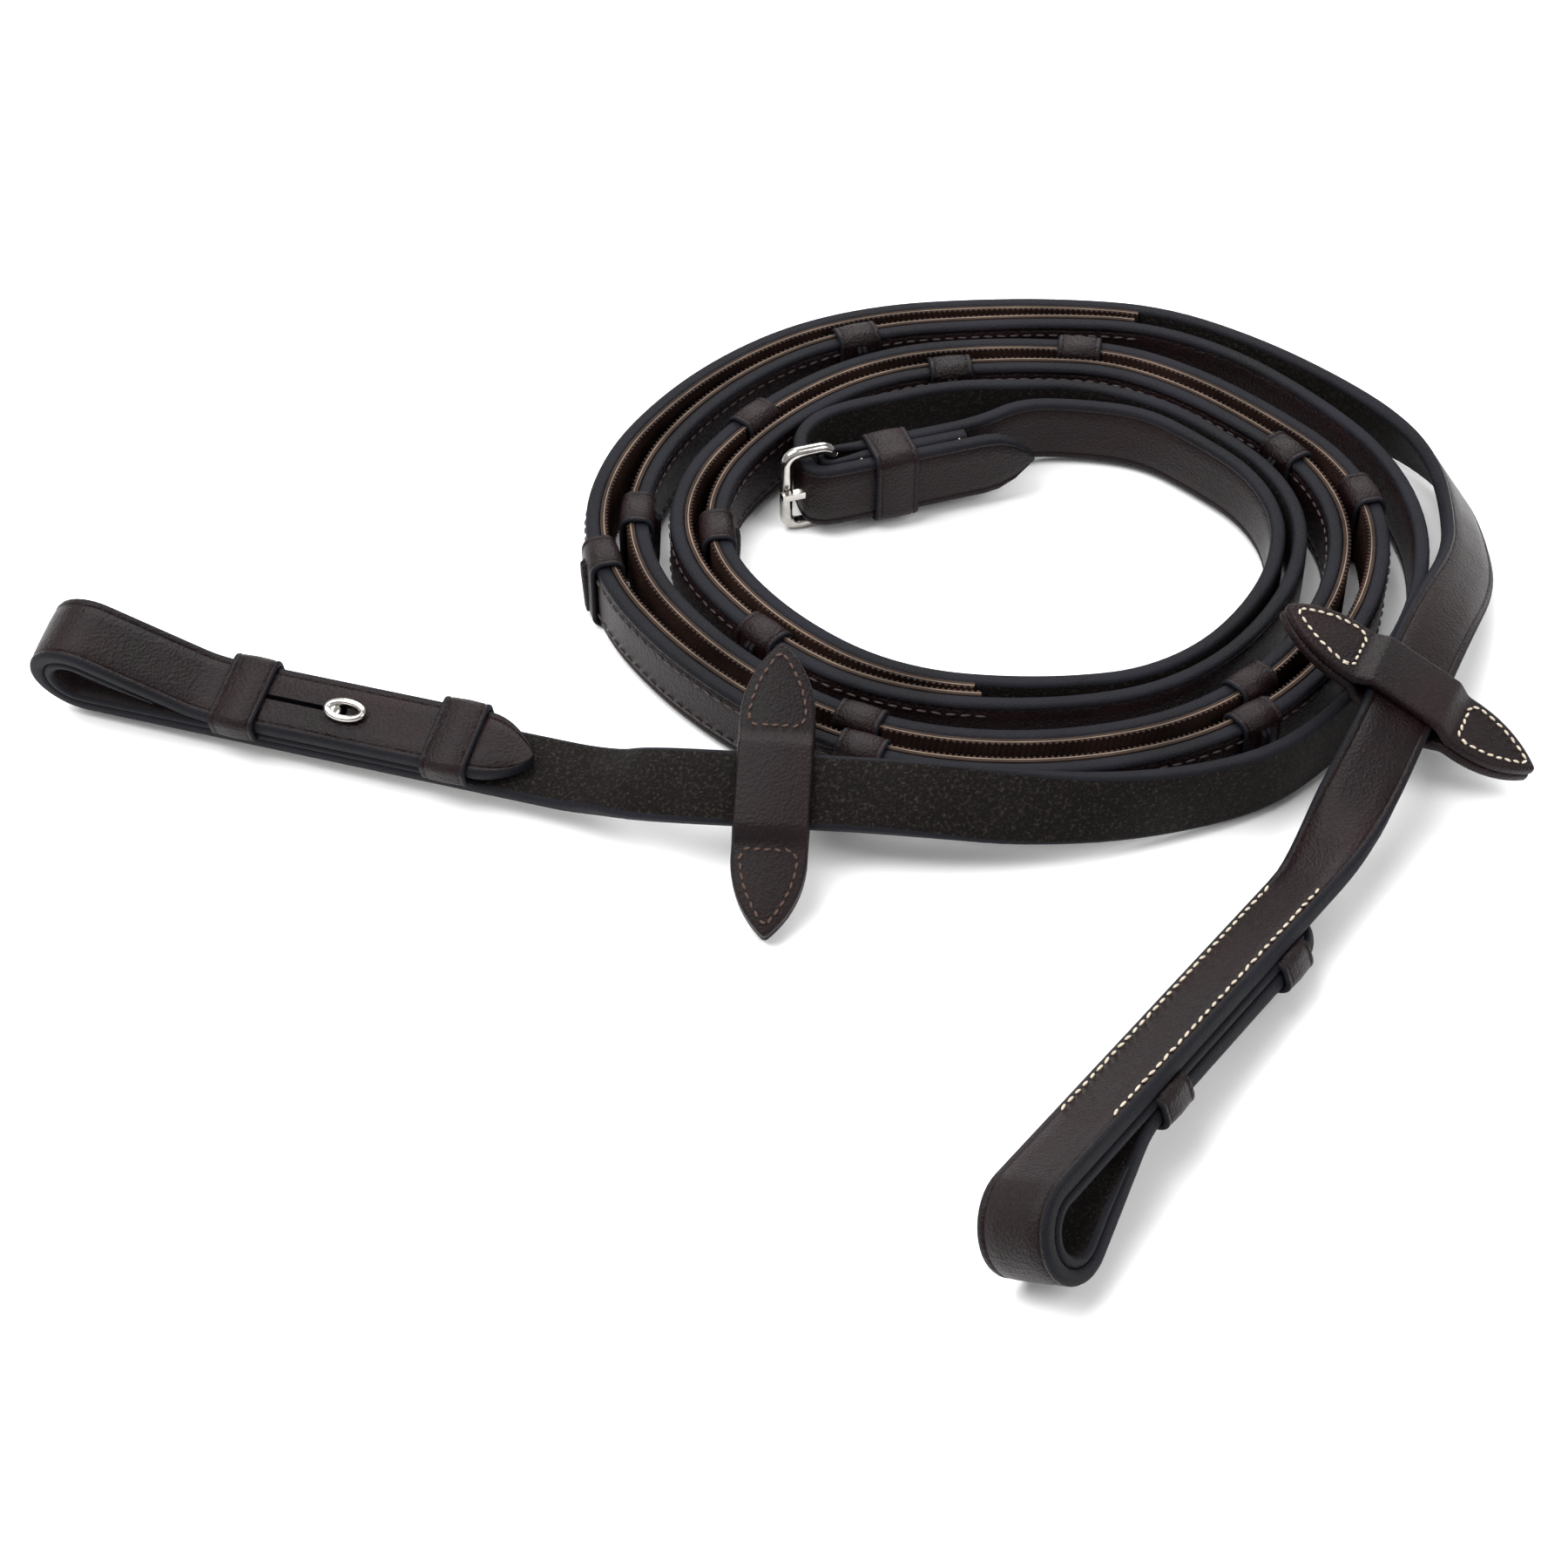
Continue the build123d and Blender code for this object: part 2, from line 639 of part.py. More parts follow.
# ---------------------------------------------------------------- buckle
frame_plane = Plane(origin=buckle_plane.from_local_coords(Vector(0, leather, 0)),
                    x_dir=buckle_along, z_dir=buckle_plane.y_dir)
frame_half = frame_inside / 2 + bar
with BuildPart() as buckle_frame:
    with BuildSketch(frame_plane.offset(-bar / 2)):
        with Locations((frame_bar_at + frame_depth / 2, 0)):
            RectangleRounded(frame_depth + bar, 2 * frame_half, bar / 2)
        with Locations((frame_bar_at + frame_depth / 2 - bar, 0)):
            Rectangle(frame_depth + bar, frame_inside, mode=Mode.SUBTRACT)
    extrude(amount=bar)
    with BuildSketch(buckle_plane.offset(-frame_inside / 2 - bar / 2)):
        with Locations((frame_bar_at, leather)):
            Circle(bar / 2)
    extrude(amount=frame_inside + bar)
buckle_frame.part.label = "buckle_frame"
export_step(buckle_frame.part, "parts/buckle_frame.step")

with BuildPart() as buckle_tongue:
    with BuildSketch(buckle_plane.offset(-tongue_rod / 2)):
        with Locations((frame_bar_at, leather)):
            Circle(tongue_eye)
        tongue_end = frame_bar_at + frame_depth + tongue_overhang
        with Locations(((frame_bar_at + tongue_end) / 2, leather + bar / 2 + tongue_rod / 2)):
            Rectangle(tongue_end - frame_bar_at, tongue_rod)
        with Locations((frame_bar_at, leather)):
            Circle(bar / 2 + 0.15, mode=Mode.SUBTRACT)
    extrude(amount=tongue_rod)
buckle_tongue.part.label = "buckle_tongue"
export_step(buckle_tongue.part, "parts/buckle_tongue.step")

with BuildPart() as buckle_keeper:
    keeper_plane = Plane(origin=buckle_plane.from_local_coords(Vector(buckle_keeper_at, 1.5 * leather, 0)),
                         x_dir=buckle_plane.y_dir, z_dir=buckle_along)
    with BuildSketch(keeper_plane.offset(-keeper_width / 2)):
        RectangleRounded(3 * leather + 2 * (keeper_clearance + band_leather),
                         strap_width + 2 * (keeper_clearance + band_leather), band_leather)
        Rectangle(3 * leather + 2 * keeper_clearance, strap_width + 2 * keeper_clearance, mode=Mode.SUBTRACT)
    extrude(amount=keeper_width)
buckle_keeper.part.label = "buckle_keeper"
export_step(buckle_keeper.part, "parts/buckle_keeper.step")

# ---------------------------------------------------------------- checks to print
for name, radii, coil, free in (("left", left_radii, left_coil, (left_inner, left_outer)),
                                ("right", right_radii, right_coil, (right_inner, right_outer))):
    lengths = [route_length(blend_route(route)) for route in free]
    coiled = route_length(coil_stations(coil))
    print(name, "rein: smallest coil radius", round(min(radii), 1), "coiled length", round(coiled),
          "free lengths", [round(length) for length in lengths])
hinge_at = buckle_plane.from_local_coords(Vector(frame_bar_at, leather, 0))
print("buckle hinge at", hinge_at)
for name, planes in (("left", left_planes), ("right", right_planes)):
    centre = planes[0].from_local_coords(Vector(*loop_centre, 0))
    print(name, "bit loop centre", centre, "axis", planes[0].z_dir, "radius",
          loop_radius - leather / 2 - bit_lining)
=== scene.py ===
import bmesh
import bpy
import json
import math
from mathutils import Matrix, Vector


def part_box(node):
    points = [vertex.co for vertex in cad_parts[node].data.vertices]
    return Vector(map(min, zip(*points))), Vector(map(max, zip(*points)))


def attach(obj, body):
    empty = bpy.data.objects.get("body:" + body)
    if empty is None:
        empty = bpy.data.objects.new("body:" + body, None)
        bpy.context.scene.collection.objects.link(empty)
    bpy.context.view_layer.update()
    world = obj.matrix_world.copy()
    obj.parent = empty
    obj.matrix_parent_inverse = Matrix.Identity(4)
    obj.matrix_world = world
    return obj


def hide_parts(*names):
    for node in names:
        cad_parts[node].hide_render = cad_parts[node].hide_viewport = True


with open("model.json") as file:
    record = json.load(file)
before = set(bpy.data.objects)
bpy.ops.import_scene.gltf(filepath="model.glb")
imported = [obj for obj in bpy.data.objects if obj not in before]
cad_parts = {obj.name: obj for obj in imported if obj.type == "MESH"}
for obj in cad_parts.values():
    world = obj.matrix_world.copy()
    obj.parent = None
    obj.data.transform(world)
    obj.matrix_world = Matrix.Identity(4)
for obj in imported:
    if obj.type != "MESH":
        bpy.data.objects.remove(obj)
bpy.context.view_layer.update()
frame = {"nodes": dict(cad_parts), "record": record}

record = frame["record"]
bodyOf = {node: body for body, nodes in record["behaviour"]["bodies"].items() for node in nodes}
scene = bpy.context.scene

# camera
cameraPlace = {"stand": (0.0005, -0.5155, 0.4903), "aim": (0.0005, -0.0075, 0.0014), "lens": 74.6}


def addObject(name, data):
    made = bpy.data.objects.new(name, data)
    scene.collection.objects.link(made)
    return made


# the place and turn of something that stands at one point and looks at another
def aimed(stand, aim):
    look = Vector(aim) - Vector(stand)
    return Matrix.Translation(stand) @ look.to_track_quat("-Z", "Y").to_matrix().to_4x4()


def addCamera(place):
    data = bpy.data.cameras.new("studioCamera")
    data.lens = place["lens"]
    data.sensor_width = 36
    data.clip_start = 0.01
    camera = addObject("studioCamera", data)
    camera.matrix_world = aimed(place["stand"], place["aim"])
    scene.camera = camera


addCamera(cameraPlace)
print("camera in place")

# sizes of the leather
strap = {"width": 0.016, "thickness": 0.0034, "edgeRound": 0.0009, "creaseIn": 0.0018,
         "creaseDepth": 0.00028, "creaseWidth": 0.0008, "crown": 0.0001, "chamfer": 0.3,
         "samplesPerPoint": 6}
sharpFrom = math.radians(50)
edgeHeight = 0.0014 + strap["width"] / 2

# the coil: reach of the pair and half the distance between them, at every eighth of a turn
coil = {"centre": (0.047, 0.065), "start": 45, "eighth": 45, "step": 15,
        "reach": [0.0583, 0.0695, 0.0665, 0.0595, 0.0605, 0.0664, 0.0610, 0.0615, 0.0717, 0.0853,
                  0.0830, 0.0787, 0.0780, 0.0852, 0.0805, 0.0784, 0.0922, 0.1016],
        "half": [0.0027, 0.0025, 0.0025, 0.0036, 0.0045, 0.0050, 0.0046, 0.0049, 0.0047, 0.0053,
                 0.0052, 0.0052, 0.0052, 0.0056, 0.0047, 0.0044, 0.0037, 0.0021],
        "lastLeft": 0.0970}

# free stretches: x and y from the coil's centre, height of the strap's middle, and roll
routes = {
    "leftInner": [(0.010, 0.0415, 0.0106, 0), (0.024, 0.0428, edgeHeight, 0)],
    "rightInner": [(0.009, 0.0489, 0.0106, 0), (0.026, 0.0505, edgeHeight, 0)],
    "leftOuter": [(0.054, -0.081, edgeHeight, 2), (0.030, -0.089, 0.0108, 8), (0.006, -0.093, 0.0138, 24),
                  (-0.0217, -0.0937, 0.0180, 60), (-0.0487, -0.0920, 0.0183, 60), (-0.0757, -0.0903, 0.0186, 60)],
    "rightOuter": [(0.0875, 0.053, edgeHeight, 8), (0.103, 0.038, 0.0092, 22), (0.1105, 0.022, 0.0090, 34),
                   (0.1115, 0.004, 0.0096, 42), (0.1095, -0.014, 0.0122, 48), (0.0985, -0.0384, 0.0190, 64),
                   (0.0875, -0.0630, 0.0197, 66), (0.0765, -0.0876, 0.0198, 66)]}

buckle = {"origin": (-0.015, 0.0297, 0.0118), "along": (-0.951, -0.309, 0),
          "chape": 0.0017, "chapeStart": -0.006, "chapeLead": 0.009, "returnEnd": -0.010,
          "barAt": 0.0225, "barRise": 0.0034, "tailPoint": 0.012,
          "tail": [(-0.026, 0.0085), (-0.012, 0.0085), (0.004, 0.0085), (0.018, 0.0085), (0.0284, 0.0083),
                   (0.0288, 0.0015), (0.0275, -0.006), (0.022, -0.0115), (0.014, -0.0138), (0.002, -0.0138),
                   (-0.014, -0.0138)]}

bitEnds = {
    "left": {"origin": (-0.0996, -0.0754, 0.0084), "along": (-0.95, 0.31, -0.025), "roll": 75, "side": 1},
    "right": {"origin": (0.0583, -0.1154, 0.0103), "along": (-0.569, -0.815, 0.113), "roll": 116, "side": -1}}
bitSizes = {"length": 0.115, "loopRadius": 0.009, "joinAt": 0.076, "joinRadius": 0.020, "lining": 0.0022,
            "overlap": 0.005, "point": 0.012, "studAt": 0.045, "slotEnd": 0.062, "studHole": 0.0022,
            "slotWidth": 0.0012, "liningStart": 0.0115, "liningEnd": 0.086, "liningRound": 0.0006,
            "tipDrop": 0.0018, "strapStart": -0.003, "lead": 0.007, "step": 0.003, "loopSteps": 24}

centre = Vector((coil["centre"][0], coil["centre"][1], 0))


def coilCorners(reaches):
    corners = []
    steps = coil["eighth"] // coil["step"]
    for step in range((len(reaches) - 1) * steps + 1):
        index, part = divmod(step, steps)
        reach = reaches[index]
        if part:
            reach += (reaches[index + 1] - reach) * (1 - math.cos(math.pi * part / steps)) / 2
        reach /= math.cos(math.radians(coil["step"] / 2))
        angle = math.radians(coil["start"] - step * coil["step"])
        corners.append((centre + Vector((reach * math.cos(angle), reach * math.sin(angle), edgeHeight)), 0))
    return corners


def freePoints(points):
    return [(centre + Vector((x, y, z)), roll) for x, y, z, roll in points]


buckleOrigin = centre + Vector(buckle["origin"])
buckleAlong = Vector(buckle["along"]).normalized()
buckleFront = Vector((0, 0, 1)).cross(buckleAlong)


def bucklePoint(u, n):
    return buckleOrigin + buckleAlong * u + buckleFront * n


# points on the smooth line that has these control points
def splinePoints(points):
    data = bpy.data.curves.new("route", "CURVE")
    data.dimensions = "3D"
    data.resolution_u = strap["samplesPerPoint"]
    spline = data.splines.new("NURBS")
    spline.points.add(len(points) - 1)
    for place, point in zip(points, spline.points):
        point.co = (place[0], place[1], place[2], 1)
    spline.order_u = 3
    spline.use_endpoint_u = True
    holder = addObject("route", data)
    bpy.context.view_layer.update()
    mesh = bpy.data.meshes.new_from_object(holder.evaluated_get(bpy.context.evaluated_depsgraph_get()))
    line = [vertex.co.copy() for vertex in mesh.vertices]
    bpy.data.objects.remove(holder)
    bpy.data.meshes.remove(mesh)
    return line


def faceNormal(along, roll):
    side = Vector((-along.y, along.x, 0)).normalized()
    up = along.cross(side)
    if up.z < 0:
        up = -up
    return side * math.cos(math.radians(roll)) + up * math.sin(math.radians(roll))


def tangents(line):
    found = []
    for index in range(len(line)):
        before = line[max(index - 1, 0)]
        after = line[min(index + 1, len(line) - 1)]
        found.append((after - before).normalized())
    return found


# place, direction, outer face normal and thickness share along a route
def smoothStations(controls):
    line = splinePoints([place for place, roll in controls])
    rolls = splinePoints([(index * 0.01, roll * 0.001, 0) for index, (place, roll) in enumerate(controls)])
    return [[place, along, faceNormal(along, roll.y * 1000), 1.0]
            for place, along, roll in zip(line, tangents(line), rolls)]


def bitFrame(end):
    along = Vector(end["along"]).normalized()
    normal = faceNormal(along, end["roll"]) * end["side"]
    return centre + Vector(end["origin"]), along, normal, along.cross(normal)


loopCentre = (bitSizes["length"] - strap["thickness"] / 2 - bitSizes["loopRadius"], bitSizes["loopRadius"])
billetRise = strap["thickness"] + bitSizes["lining"]


# side view of one layer: straight to the loop and round it
def loopLine(radius, start, slope):
    run = loopCentre[0] - start
    count = int(run / bitSizes["step"])
    points = [(start + run * step / count, loopCentre[1] - radius) for step in range(count)]
    for turn in range(bitSizes["loopSteps"] + 1):
        angle = -math.pi / 2 + (math.pi + slope) * turn / bitSizes["loopSteps"]
        points.append((loopCentre[0] + radius * math.cos(angle), loopCentre[1] + radius * math.sin(angle)))
    return points


def loopSlope():
    rise = loopCentre[1] - billetRise
    run = loopCentre[0] - bitSizes["joinAt"]
    return math.atan2(rise, run) + math.asin(bitSizes["loopRadius"] / math.hypot(run, rise))


# side view of the bit lining, which ends where the billet leaves the loop
def liningLine():
    slope = loopSlope()
    points = loopLine(bitSizes["loopRadius"] - (strap["thickness"] + bitSizes["lining"]) / 2,
                      bitSizes["liningStart"], slope)
    last = points[-1]
    reach = (last[0] - bitSizes["liningEnd"]) / math.cos(slope)
    steps = 5
    for step in range(1, steps + 1):
        points.append((last[0] - reach * math.cos(slope) * step / steps,
                       last[1] - reach * math.sin(slope) * step / steps))
    return points


# side view of the strap round the bit loop, to the billet's point
def billetLine():
    slope = loopSlope()
    points = loopLine(bitSizes["loopRadius"], bitSizes["strapStart"], slope)
    fillet = bitSizes["joinRadius"]
    reach = fillet * math.tan(slope / 2)
    start = (bitSizes["joinAt"] + reach * math.cos(slope), billetRise + reach * math.sin(slope))
    last = points[-1]
    for part in (0.25, 0.5, 0.75):
        points.append((last[0] + (start[0] - last[0]) * part, last[1] + (start[1] - last[1]) * part))
    joinSteps, tipSteps = 6, 12
    for turn in range(joinSteps + 1):
        angle = slope * (1 - turn / joinSteps)
        points.append((bitSizes["joinAt"] - reach + fillet * math.sin(angle),
                       billetRise + fillet * (1 - math.cos(angle))))
    x = points[-1][0] - bitSizes["step"]
    while x > bitSizes["point"]:
        points.append((x, billetRise))
        x -= bitSizes["step"]
    for step in range(tipSteps + 1):
        part = step / tipSteps
        settled = bitSizes["tipDrop"] * part * part * (3 - 2 * part)
        points.append((bitSizes["point"] * (1 - part) + 0.0002, billetRise - settled))
    return points


def bitStations(end, sideLine):
    origin, along, normal = bitFrame(end)[:3]
    line = [Vector((x, y, 0)) for x, y in sideLine]
    stations = []
    for place, run in zip(line, tangents(line)):
        face = Vector((-run.y, run.x, 0)) * end["side"]
        stations.append([origin + along * place.x + normal * place.y,
                         along * run.x + normal * run.y, along * face.x + normal * face.y, 1.0])
    return stations


def bitControls(end):
    origin, along = bitFrame(end)[:2]
    return [(origin - along * (bitSizes["overlap"] + bitSizes["lead"]), end["roll"]),
            (origin - along * bitSizes["overlap"], end["roll"])]


leftReach = [reach - half for reach, half in zip(coil["reach"], coil["half"])] + [coil["lastLeft"]]
rightReach = [reach + half for reach, half in zip(coil["reach"], coil["half"])][:-1]
leftControls = [(bucklePoint(buckle["chapeStart"], buckle["chape"]), 0),
                (bucklePoint(buckle["chapeStart"] - buckle["chapeLead"], buckle["chape"]), 0)]
leftControls += freePoints(routes["leftInner"]) + coilCorners(leftReach) + freePoints(routes["leftOuter"])
leftControls += bitControls(bitEnds["left"])
rightControls = [(bucklePoint(u, n), 0) for u, n in buckle["tail"]]
rightControls += freePoints(routes["rightInner"]) + coilCorners(rightReach) + freePoints(routes["rightOuter"])
rightControls += bitControls(bitEnds["right"])


# the tapers are places along and out with their thickness share
chape = {"step": 0.003, "returnRise": 0.0051, "returnSteps": 8,
         "returnTaper": [(0.0155, 0.0053, 0.8), (0.019, 0.0057, 0.6)],
         "turnRadius": 0.00255, "turnSteps": 10, "turnShare": 0.5,
         "frontTaper": [(0.019, 0.0011, 0.6), (0.0155, 0.0015, 0.8)], "frontAt": 0.012, "frontSteps": 6}


# the chape, from its sewn end to the buckle bar and back
def chapeStations():
    flat = [(buckle["returnEnd"] + chape["step"] * step, chape["returnRise"], 1.0)
            for step in range(chape["returnSteps"])]
    flat += chape["returnTaper"]
    for turn in range(chape["turnSteps"] + 1):
        angle = math.pi / 2 - math.pi * turn / chape["turnSteps"]
        flat.append((buckle["barAt"] + chape["turnRadius"] * math.cos(angle),
                     buckle["barRise"] + chape["turnRadius"] * math.sin(angle), chape["turnShare"]))
    flat += chape["frontTaper"]
    flat += [(chape["frontAt"] - chape["step"] * step, buckle["chape"], 1.0)
             for step in range(chape["frontSteps"])]
    line = [bucklePoint(u, n) for u, n, share in flat]
    stations = []
    for place, along, (u, n, share) in zip(line, tangents(line), flat):
        stations.append([place, along, Vector((-along.y, along.x, 0)), share])
    return stations


leftStations = smoothStations(leftControls)
rightStations = smoothStations(rightControls)


def walked(stations):
    lengths = [0]
    for one, other in zip(stations, stations[1:]):
        lengths.append(lengths[-1] + (other[0] - one[0]).length)
    return lengths


# materials: colours from dark to light, roughness range, and the size and depth of the grain
finish = {
    "grainLeather": {"dark": (0.0034, 0.0010, 0.0013), "light": (0.0105, 0.0034, 0.0042), "rough": (0.28, 0.44),
                     "pebble": 1500.0, "depth": 0.9, "coat": 0.04, "gloss": 0.13},
    "fleshLeather": {"dark": (0.0045, 0.0034, 0.0030), "light": (0.060, 0.050, 0.042), "rough": (0.5, 0.8),
                     "pebble": 2100.0, "depth": 0.9, "fibre": 1300.0, "coat": 0.0, "gloss": 0.08},
    "edgeLeather": {"dark": (0.0036, 0.0037, 0.0053), "light": (0.0105, 0.0108, 0.0155), "rough": (0.5, 0.7),
                    "pebble": 2400.0, "depth": 0.6, "coat": 0.0, "gloss": 0.10},
    "liningEdge": {"dark": (0.020, 0.012, 0.009), "light": (0.048, 0.032, 0.025), "rough": (0.7, 0.9),
                   "pebble": 2600.0, "depth": 0.8, "coat": 0.0, "gloss": 0.10},
    # painted highlight: this light colour is the light catching the grip lining's edge, painted as a thin bright
    # strip
    "liningCut": {"dark": (0.12, 0.090, 0.066), "light": (0.32, 0.25, 0.19), "rough": (0.8, 0.95),
                  "pebble": 2600.0, "depth": 0.9, "coat": 0.0, "gloss": 0.10},
    "liningFace": {"dark": (0.010, 0.0055, 0.0045), "light": (0.040, 0.021, 0.016), "rough": (0.45, 0.65),
                   "pebble": 1900.0, "depth": 0.8, "coat": 0.0, "gloss": 0.10},
    "creamThread": {"dark": (0.36, 0.30, 0.22), "light": (0.66, 0.59, 0.48), "rough": (0.6, 0.8)},
    "brownThread": {"dark": (0.035, 0.016, 0.010), "light": (0.085, 0.042, 0.027), "rough": (0.6, 0.8)},
    "darkThread": {"dark": (0.012, 0.008, 0.008), "light": (0.040, 0.026, 0.024), "rough": (0.5, 0.7)},
    "polishedSteel": {"dark": (0.36, 0.34, 0.32), "light": (0.56, 0.54, 0.51), "rough": (0.10, 0.24)}}
# scales, depths and heights that the leathers, threads and steel share
texture = {"cloudScale": 45.0, "hairRatio": 1.7, "grainRise": 0.0002, "fibreFrom": 0.52, "fibreTo": 0.78,
           "coatRough": 0.3, "twistScale": 2600.0, "twistDepth": 0.5, "twistRise": 0.0001,
           "smearScale": 220.0, "scratchScale": 3000.0, "scratchDepth": 0.08, "scratchRise": 0.00005}


def newMaterial(name):
    material = bpy.data.materials.new(name)
    material.use_nodes = True
    nodes, links = material.node_tree.nodes, material.node_tree.links
    shader = nodes["Principled BSDF"]
    return material, nodes, links, shader


def node(nodes, kind, **values):
    made = nodes.new(kind)
    for key, value in values.items():
        if key in made.inputs:
            made.inputs[key].default_value = value
        else:
            setattr(made, key, value)
    return made


def remap(nodes, links, source, low, high, start=0.3, end=0.7):
    ranged = node(nodes, "ShaderNodeMapRange")
    ranged.inputs["From Min"].default_value = start
    ranged.inputs["From Max"].default_value = end
    ranged.inputs["To Min"].default_value = low
    ranged.inputs["To Max"].default_value = high
    links.new(source, ranged.inputs["Value"])
    return ranged.outputs["Result"]


def colourBetween(nodes, links, source, dark, light, start=0.35, end=0.7):
    ramp = node(nodes, "ShaderNodeValToRGB")
    ramp.color_ramp.elements[0].position = start
    ramp.color_ramp.elements[0].color = (*dark, 1)
    ramp.color_ramp.elements[1].position = end
    ramp.color_ramp.elements[1].color = (*light, 1)
    links.new(source, ramp.inputs["Fac"])
    return ramp.outputs["Color"]


def addBump(nodes, links, shader, source, strength, rise):
    bump = node(nodes, "ShaderNodeBump", Strength=strength, Distance=rise)
    links.new(source, bump.inputs["Height"])
    links.new(bump.outputs["Normal"], shader.inputs["Normal"])


# dyed leather: slow colour clouds, pebbled pores, wear in the roughness
def leatherMaterial(name):
    look = finish[name]
    material, nodes, links, shader = newMaterial(name)
    place = node(nodes, "ShaderNodeTexCoord").outputs["Object"]
    clouds = node(nodes, "ShaderNodeTexNoise", Scale=texture["cloudScale"], Detail=6.0, Roughness=0.6)
    pores = node(nodes, "ShaderNodeTexVoronoi", Scale=look["pebble"])
    hairs = node(nodes, "ShaderNodeTexNoise", Scale=look["pebble"] * texture["hairRatio"], Detail=5.0,
                 Roughness=0.65)
    for pattern in (clouds, pores, hairs):
        links.new(place, pattern.inputs["Vector"])
    if "fibre" in look:
        specks = node(nodes, "ShaderNodeTexNoise", Scale=look["fibre"], Detail=8.0, Roughness=0.75)
        links.new(place, specks.inputs["Vector"])
        colour = colourBetween(nodes, links, specks.outputs["Fac"], look["dark"], look["light"],
                               texture["fibreFrom"], texture["fibreTo"])
    else:
        colour = colourBetween(nodes, links, clouds.outputs["Fac"], look["dark"], look["light"])
    links.new(colour, shader.inputs["Base Color"])
    links.new(remap(nodes, links, clouds.outputs["Fac"], *look["rough"]), shader.inputs["Roughness"])
    height = node(nodes, "ShaderNodeMath", operation="ADD")
    links.new(pores.outputs["Distance"], height.inputs[0])
    links.new(hairs.outputs["Fac"], height.inputs[1])
    addBump(nodes, links, shader, height.outputs["Value"], look["depth"], texture["grainRise"])
    shader.inputs["Specular IOR Level"].default_value = look["gloss"]
    shader.inputs["Coat Weight"].default_value = look["coat"]
    shader.inputs["Coat Roughness"].default_value = texture["coatRough"]
    return material


def threadMaterial(name):
    look = finish[name]
    material, nodes, links, shader = newMaterial(name)
    place = node(nodes, "ShaderNodeTexCoord").outputs["Object"]
    twist = node(nodes, "ShaderNodeTexNoise", Scale=texture["twistScale"], Detail=3.0)
    links.new(place, twist.inputs["Vector"])
    links.new(colourBetween(nodes, links, twist.outputs["Fac"], look["dark"], look["light"]),
              shader.inputs["Base Color"])
    links.new(remap(nodes, links, twist.outputs["Fac"], *look["rough"]), shader.inputs["Roughness"])
    addBump(nodes, links, shader, twist.outputs["Fac"], texture["twistDepth"], texture["twistRise"])
    return material


def steelMaterial(name):
    look = finish[name]
    material, nodes, links, shader = newMaterial(name)
    place = node(nodes, "ShaderNodeTexCoord").outputs["Object"]
    smear = node(nodes, "ShaderNodeTexNoise", Scale=texture["smearScale"], Detail=5.0)
    scratch = node(nodes, "ShaderNodeTexNoise", Scale=texture["scratchScale"], Detail=2.0)
    links.new(place, smear.inputs["Vector"])
    links.new(place, scratch.inputs["Vector"])
    links.new(colourBetween(nodes, links, smear.outputs["Fac"], look["dark"], look["light"]),
              shader.inputs["Base Color"])
    links.new(remap(nodes, links, smear.outputs["Fac"], *look["rough"]), shader.inputs["Roughness"])
    addBump(nodes, links, shader, scratch.outputs["Fac"], texture["scratchDepth"], texture["scratchRise"])
    shader.inputs["Metallic"].default_value = 1.0
    return material


grainLeather = leatherMaterial("grainLeather")
fleshLeather = leatherMaterial("fleshLeather")
edgeLeather = leatherMaterial("edgeLeather")
liningEdge = leatherMaterial("liningEdge")
# painted highlight for the thin bright strip along both grip linings' edges
liningCut = leatherMaterial("liningCut")
liningFace = leatherMaterial("liningFace")
creamThread = threadMaterial("creamThread")
brownThread = threadMaterial("brownThread")
darkThread = threadMaterial("darkThread")
polishedSteel = steelMaterial("polishedSteel")
leathers = [grainLeather, fleshLeather, edgeLeather]
print("materials made")


# swept leather
# out from the middle, across the width, and material, all round one strap
def strapProfile(grainSide):
    half, thick = strap["width"] / 2, strap["thickness"] / 2
    turn = strap["edgeRound"]
    cut = turn * strap["chamfer"]
    crease, depth, groove = half - strap["creaseIn"], strap["creaseDepth"], strap["creaseWidth"] / 2
    crown = strap["crown"]
    grain = [(thick, turn - half), (thick, -crease - groove), (thick - depth, -crease),
             (thick, -crease + groove), (thick + crown, -half * 0.4), (thick + crown, half * 0.4),
             (thick, crease - groove), (thick - depth, crease), (thick, crease + groove)]
    outline = [(n, w, 0) for n, w in grain]
    outline += [(thick, half - turn, 2), (thick - cut, half - cut, 2),
                (thick - turn, half, 2), (turn - thick, half, 2), (cut - thick, half - cut, 2)]
    outline += [(-thick, half - turn, 1), (-thick, 0, 1)]
    outline += [(-thick, turn - half, 2), (cut - thick, cut - half, 2),
                (turn - thick, -half, 2), (thick - turn, -half, 2), (thick - cut, cut - half, 2)]
    return [(n * grainSide, w, material) for n, w, material in outline]


def turnFacesOut(mesh):
    work = bmesh.new()
    work.from_mesh(mesh)
    bmesh.ops.recalc_face_normals(work, faces=work.faces)
    work.to_mesh(mesh)
    work.free()


# a solid between two outlines that have the same number of points
def prismMesh(name, outlines, materials):
    count = len(outlines[0])
    faces = [tuple(range(count)), tuple(range(count, 2 * count))]
    faces += [(i, (i + 1) % count, (i + 1) % count + count, i + count) for i in range(count)]
    mesh = bpy.data.meshes.new(name)
    mesh.from_pydata([tuple(place) for outline in outlines for place in outline], [], faces)
    for material in materials:
        mesh.materials.append(material)
    turnFacesOut(mesh)
    return mesh


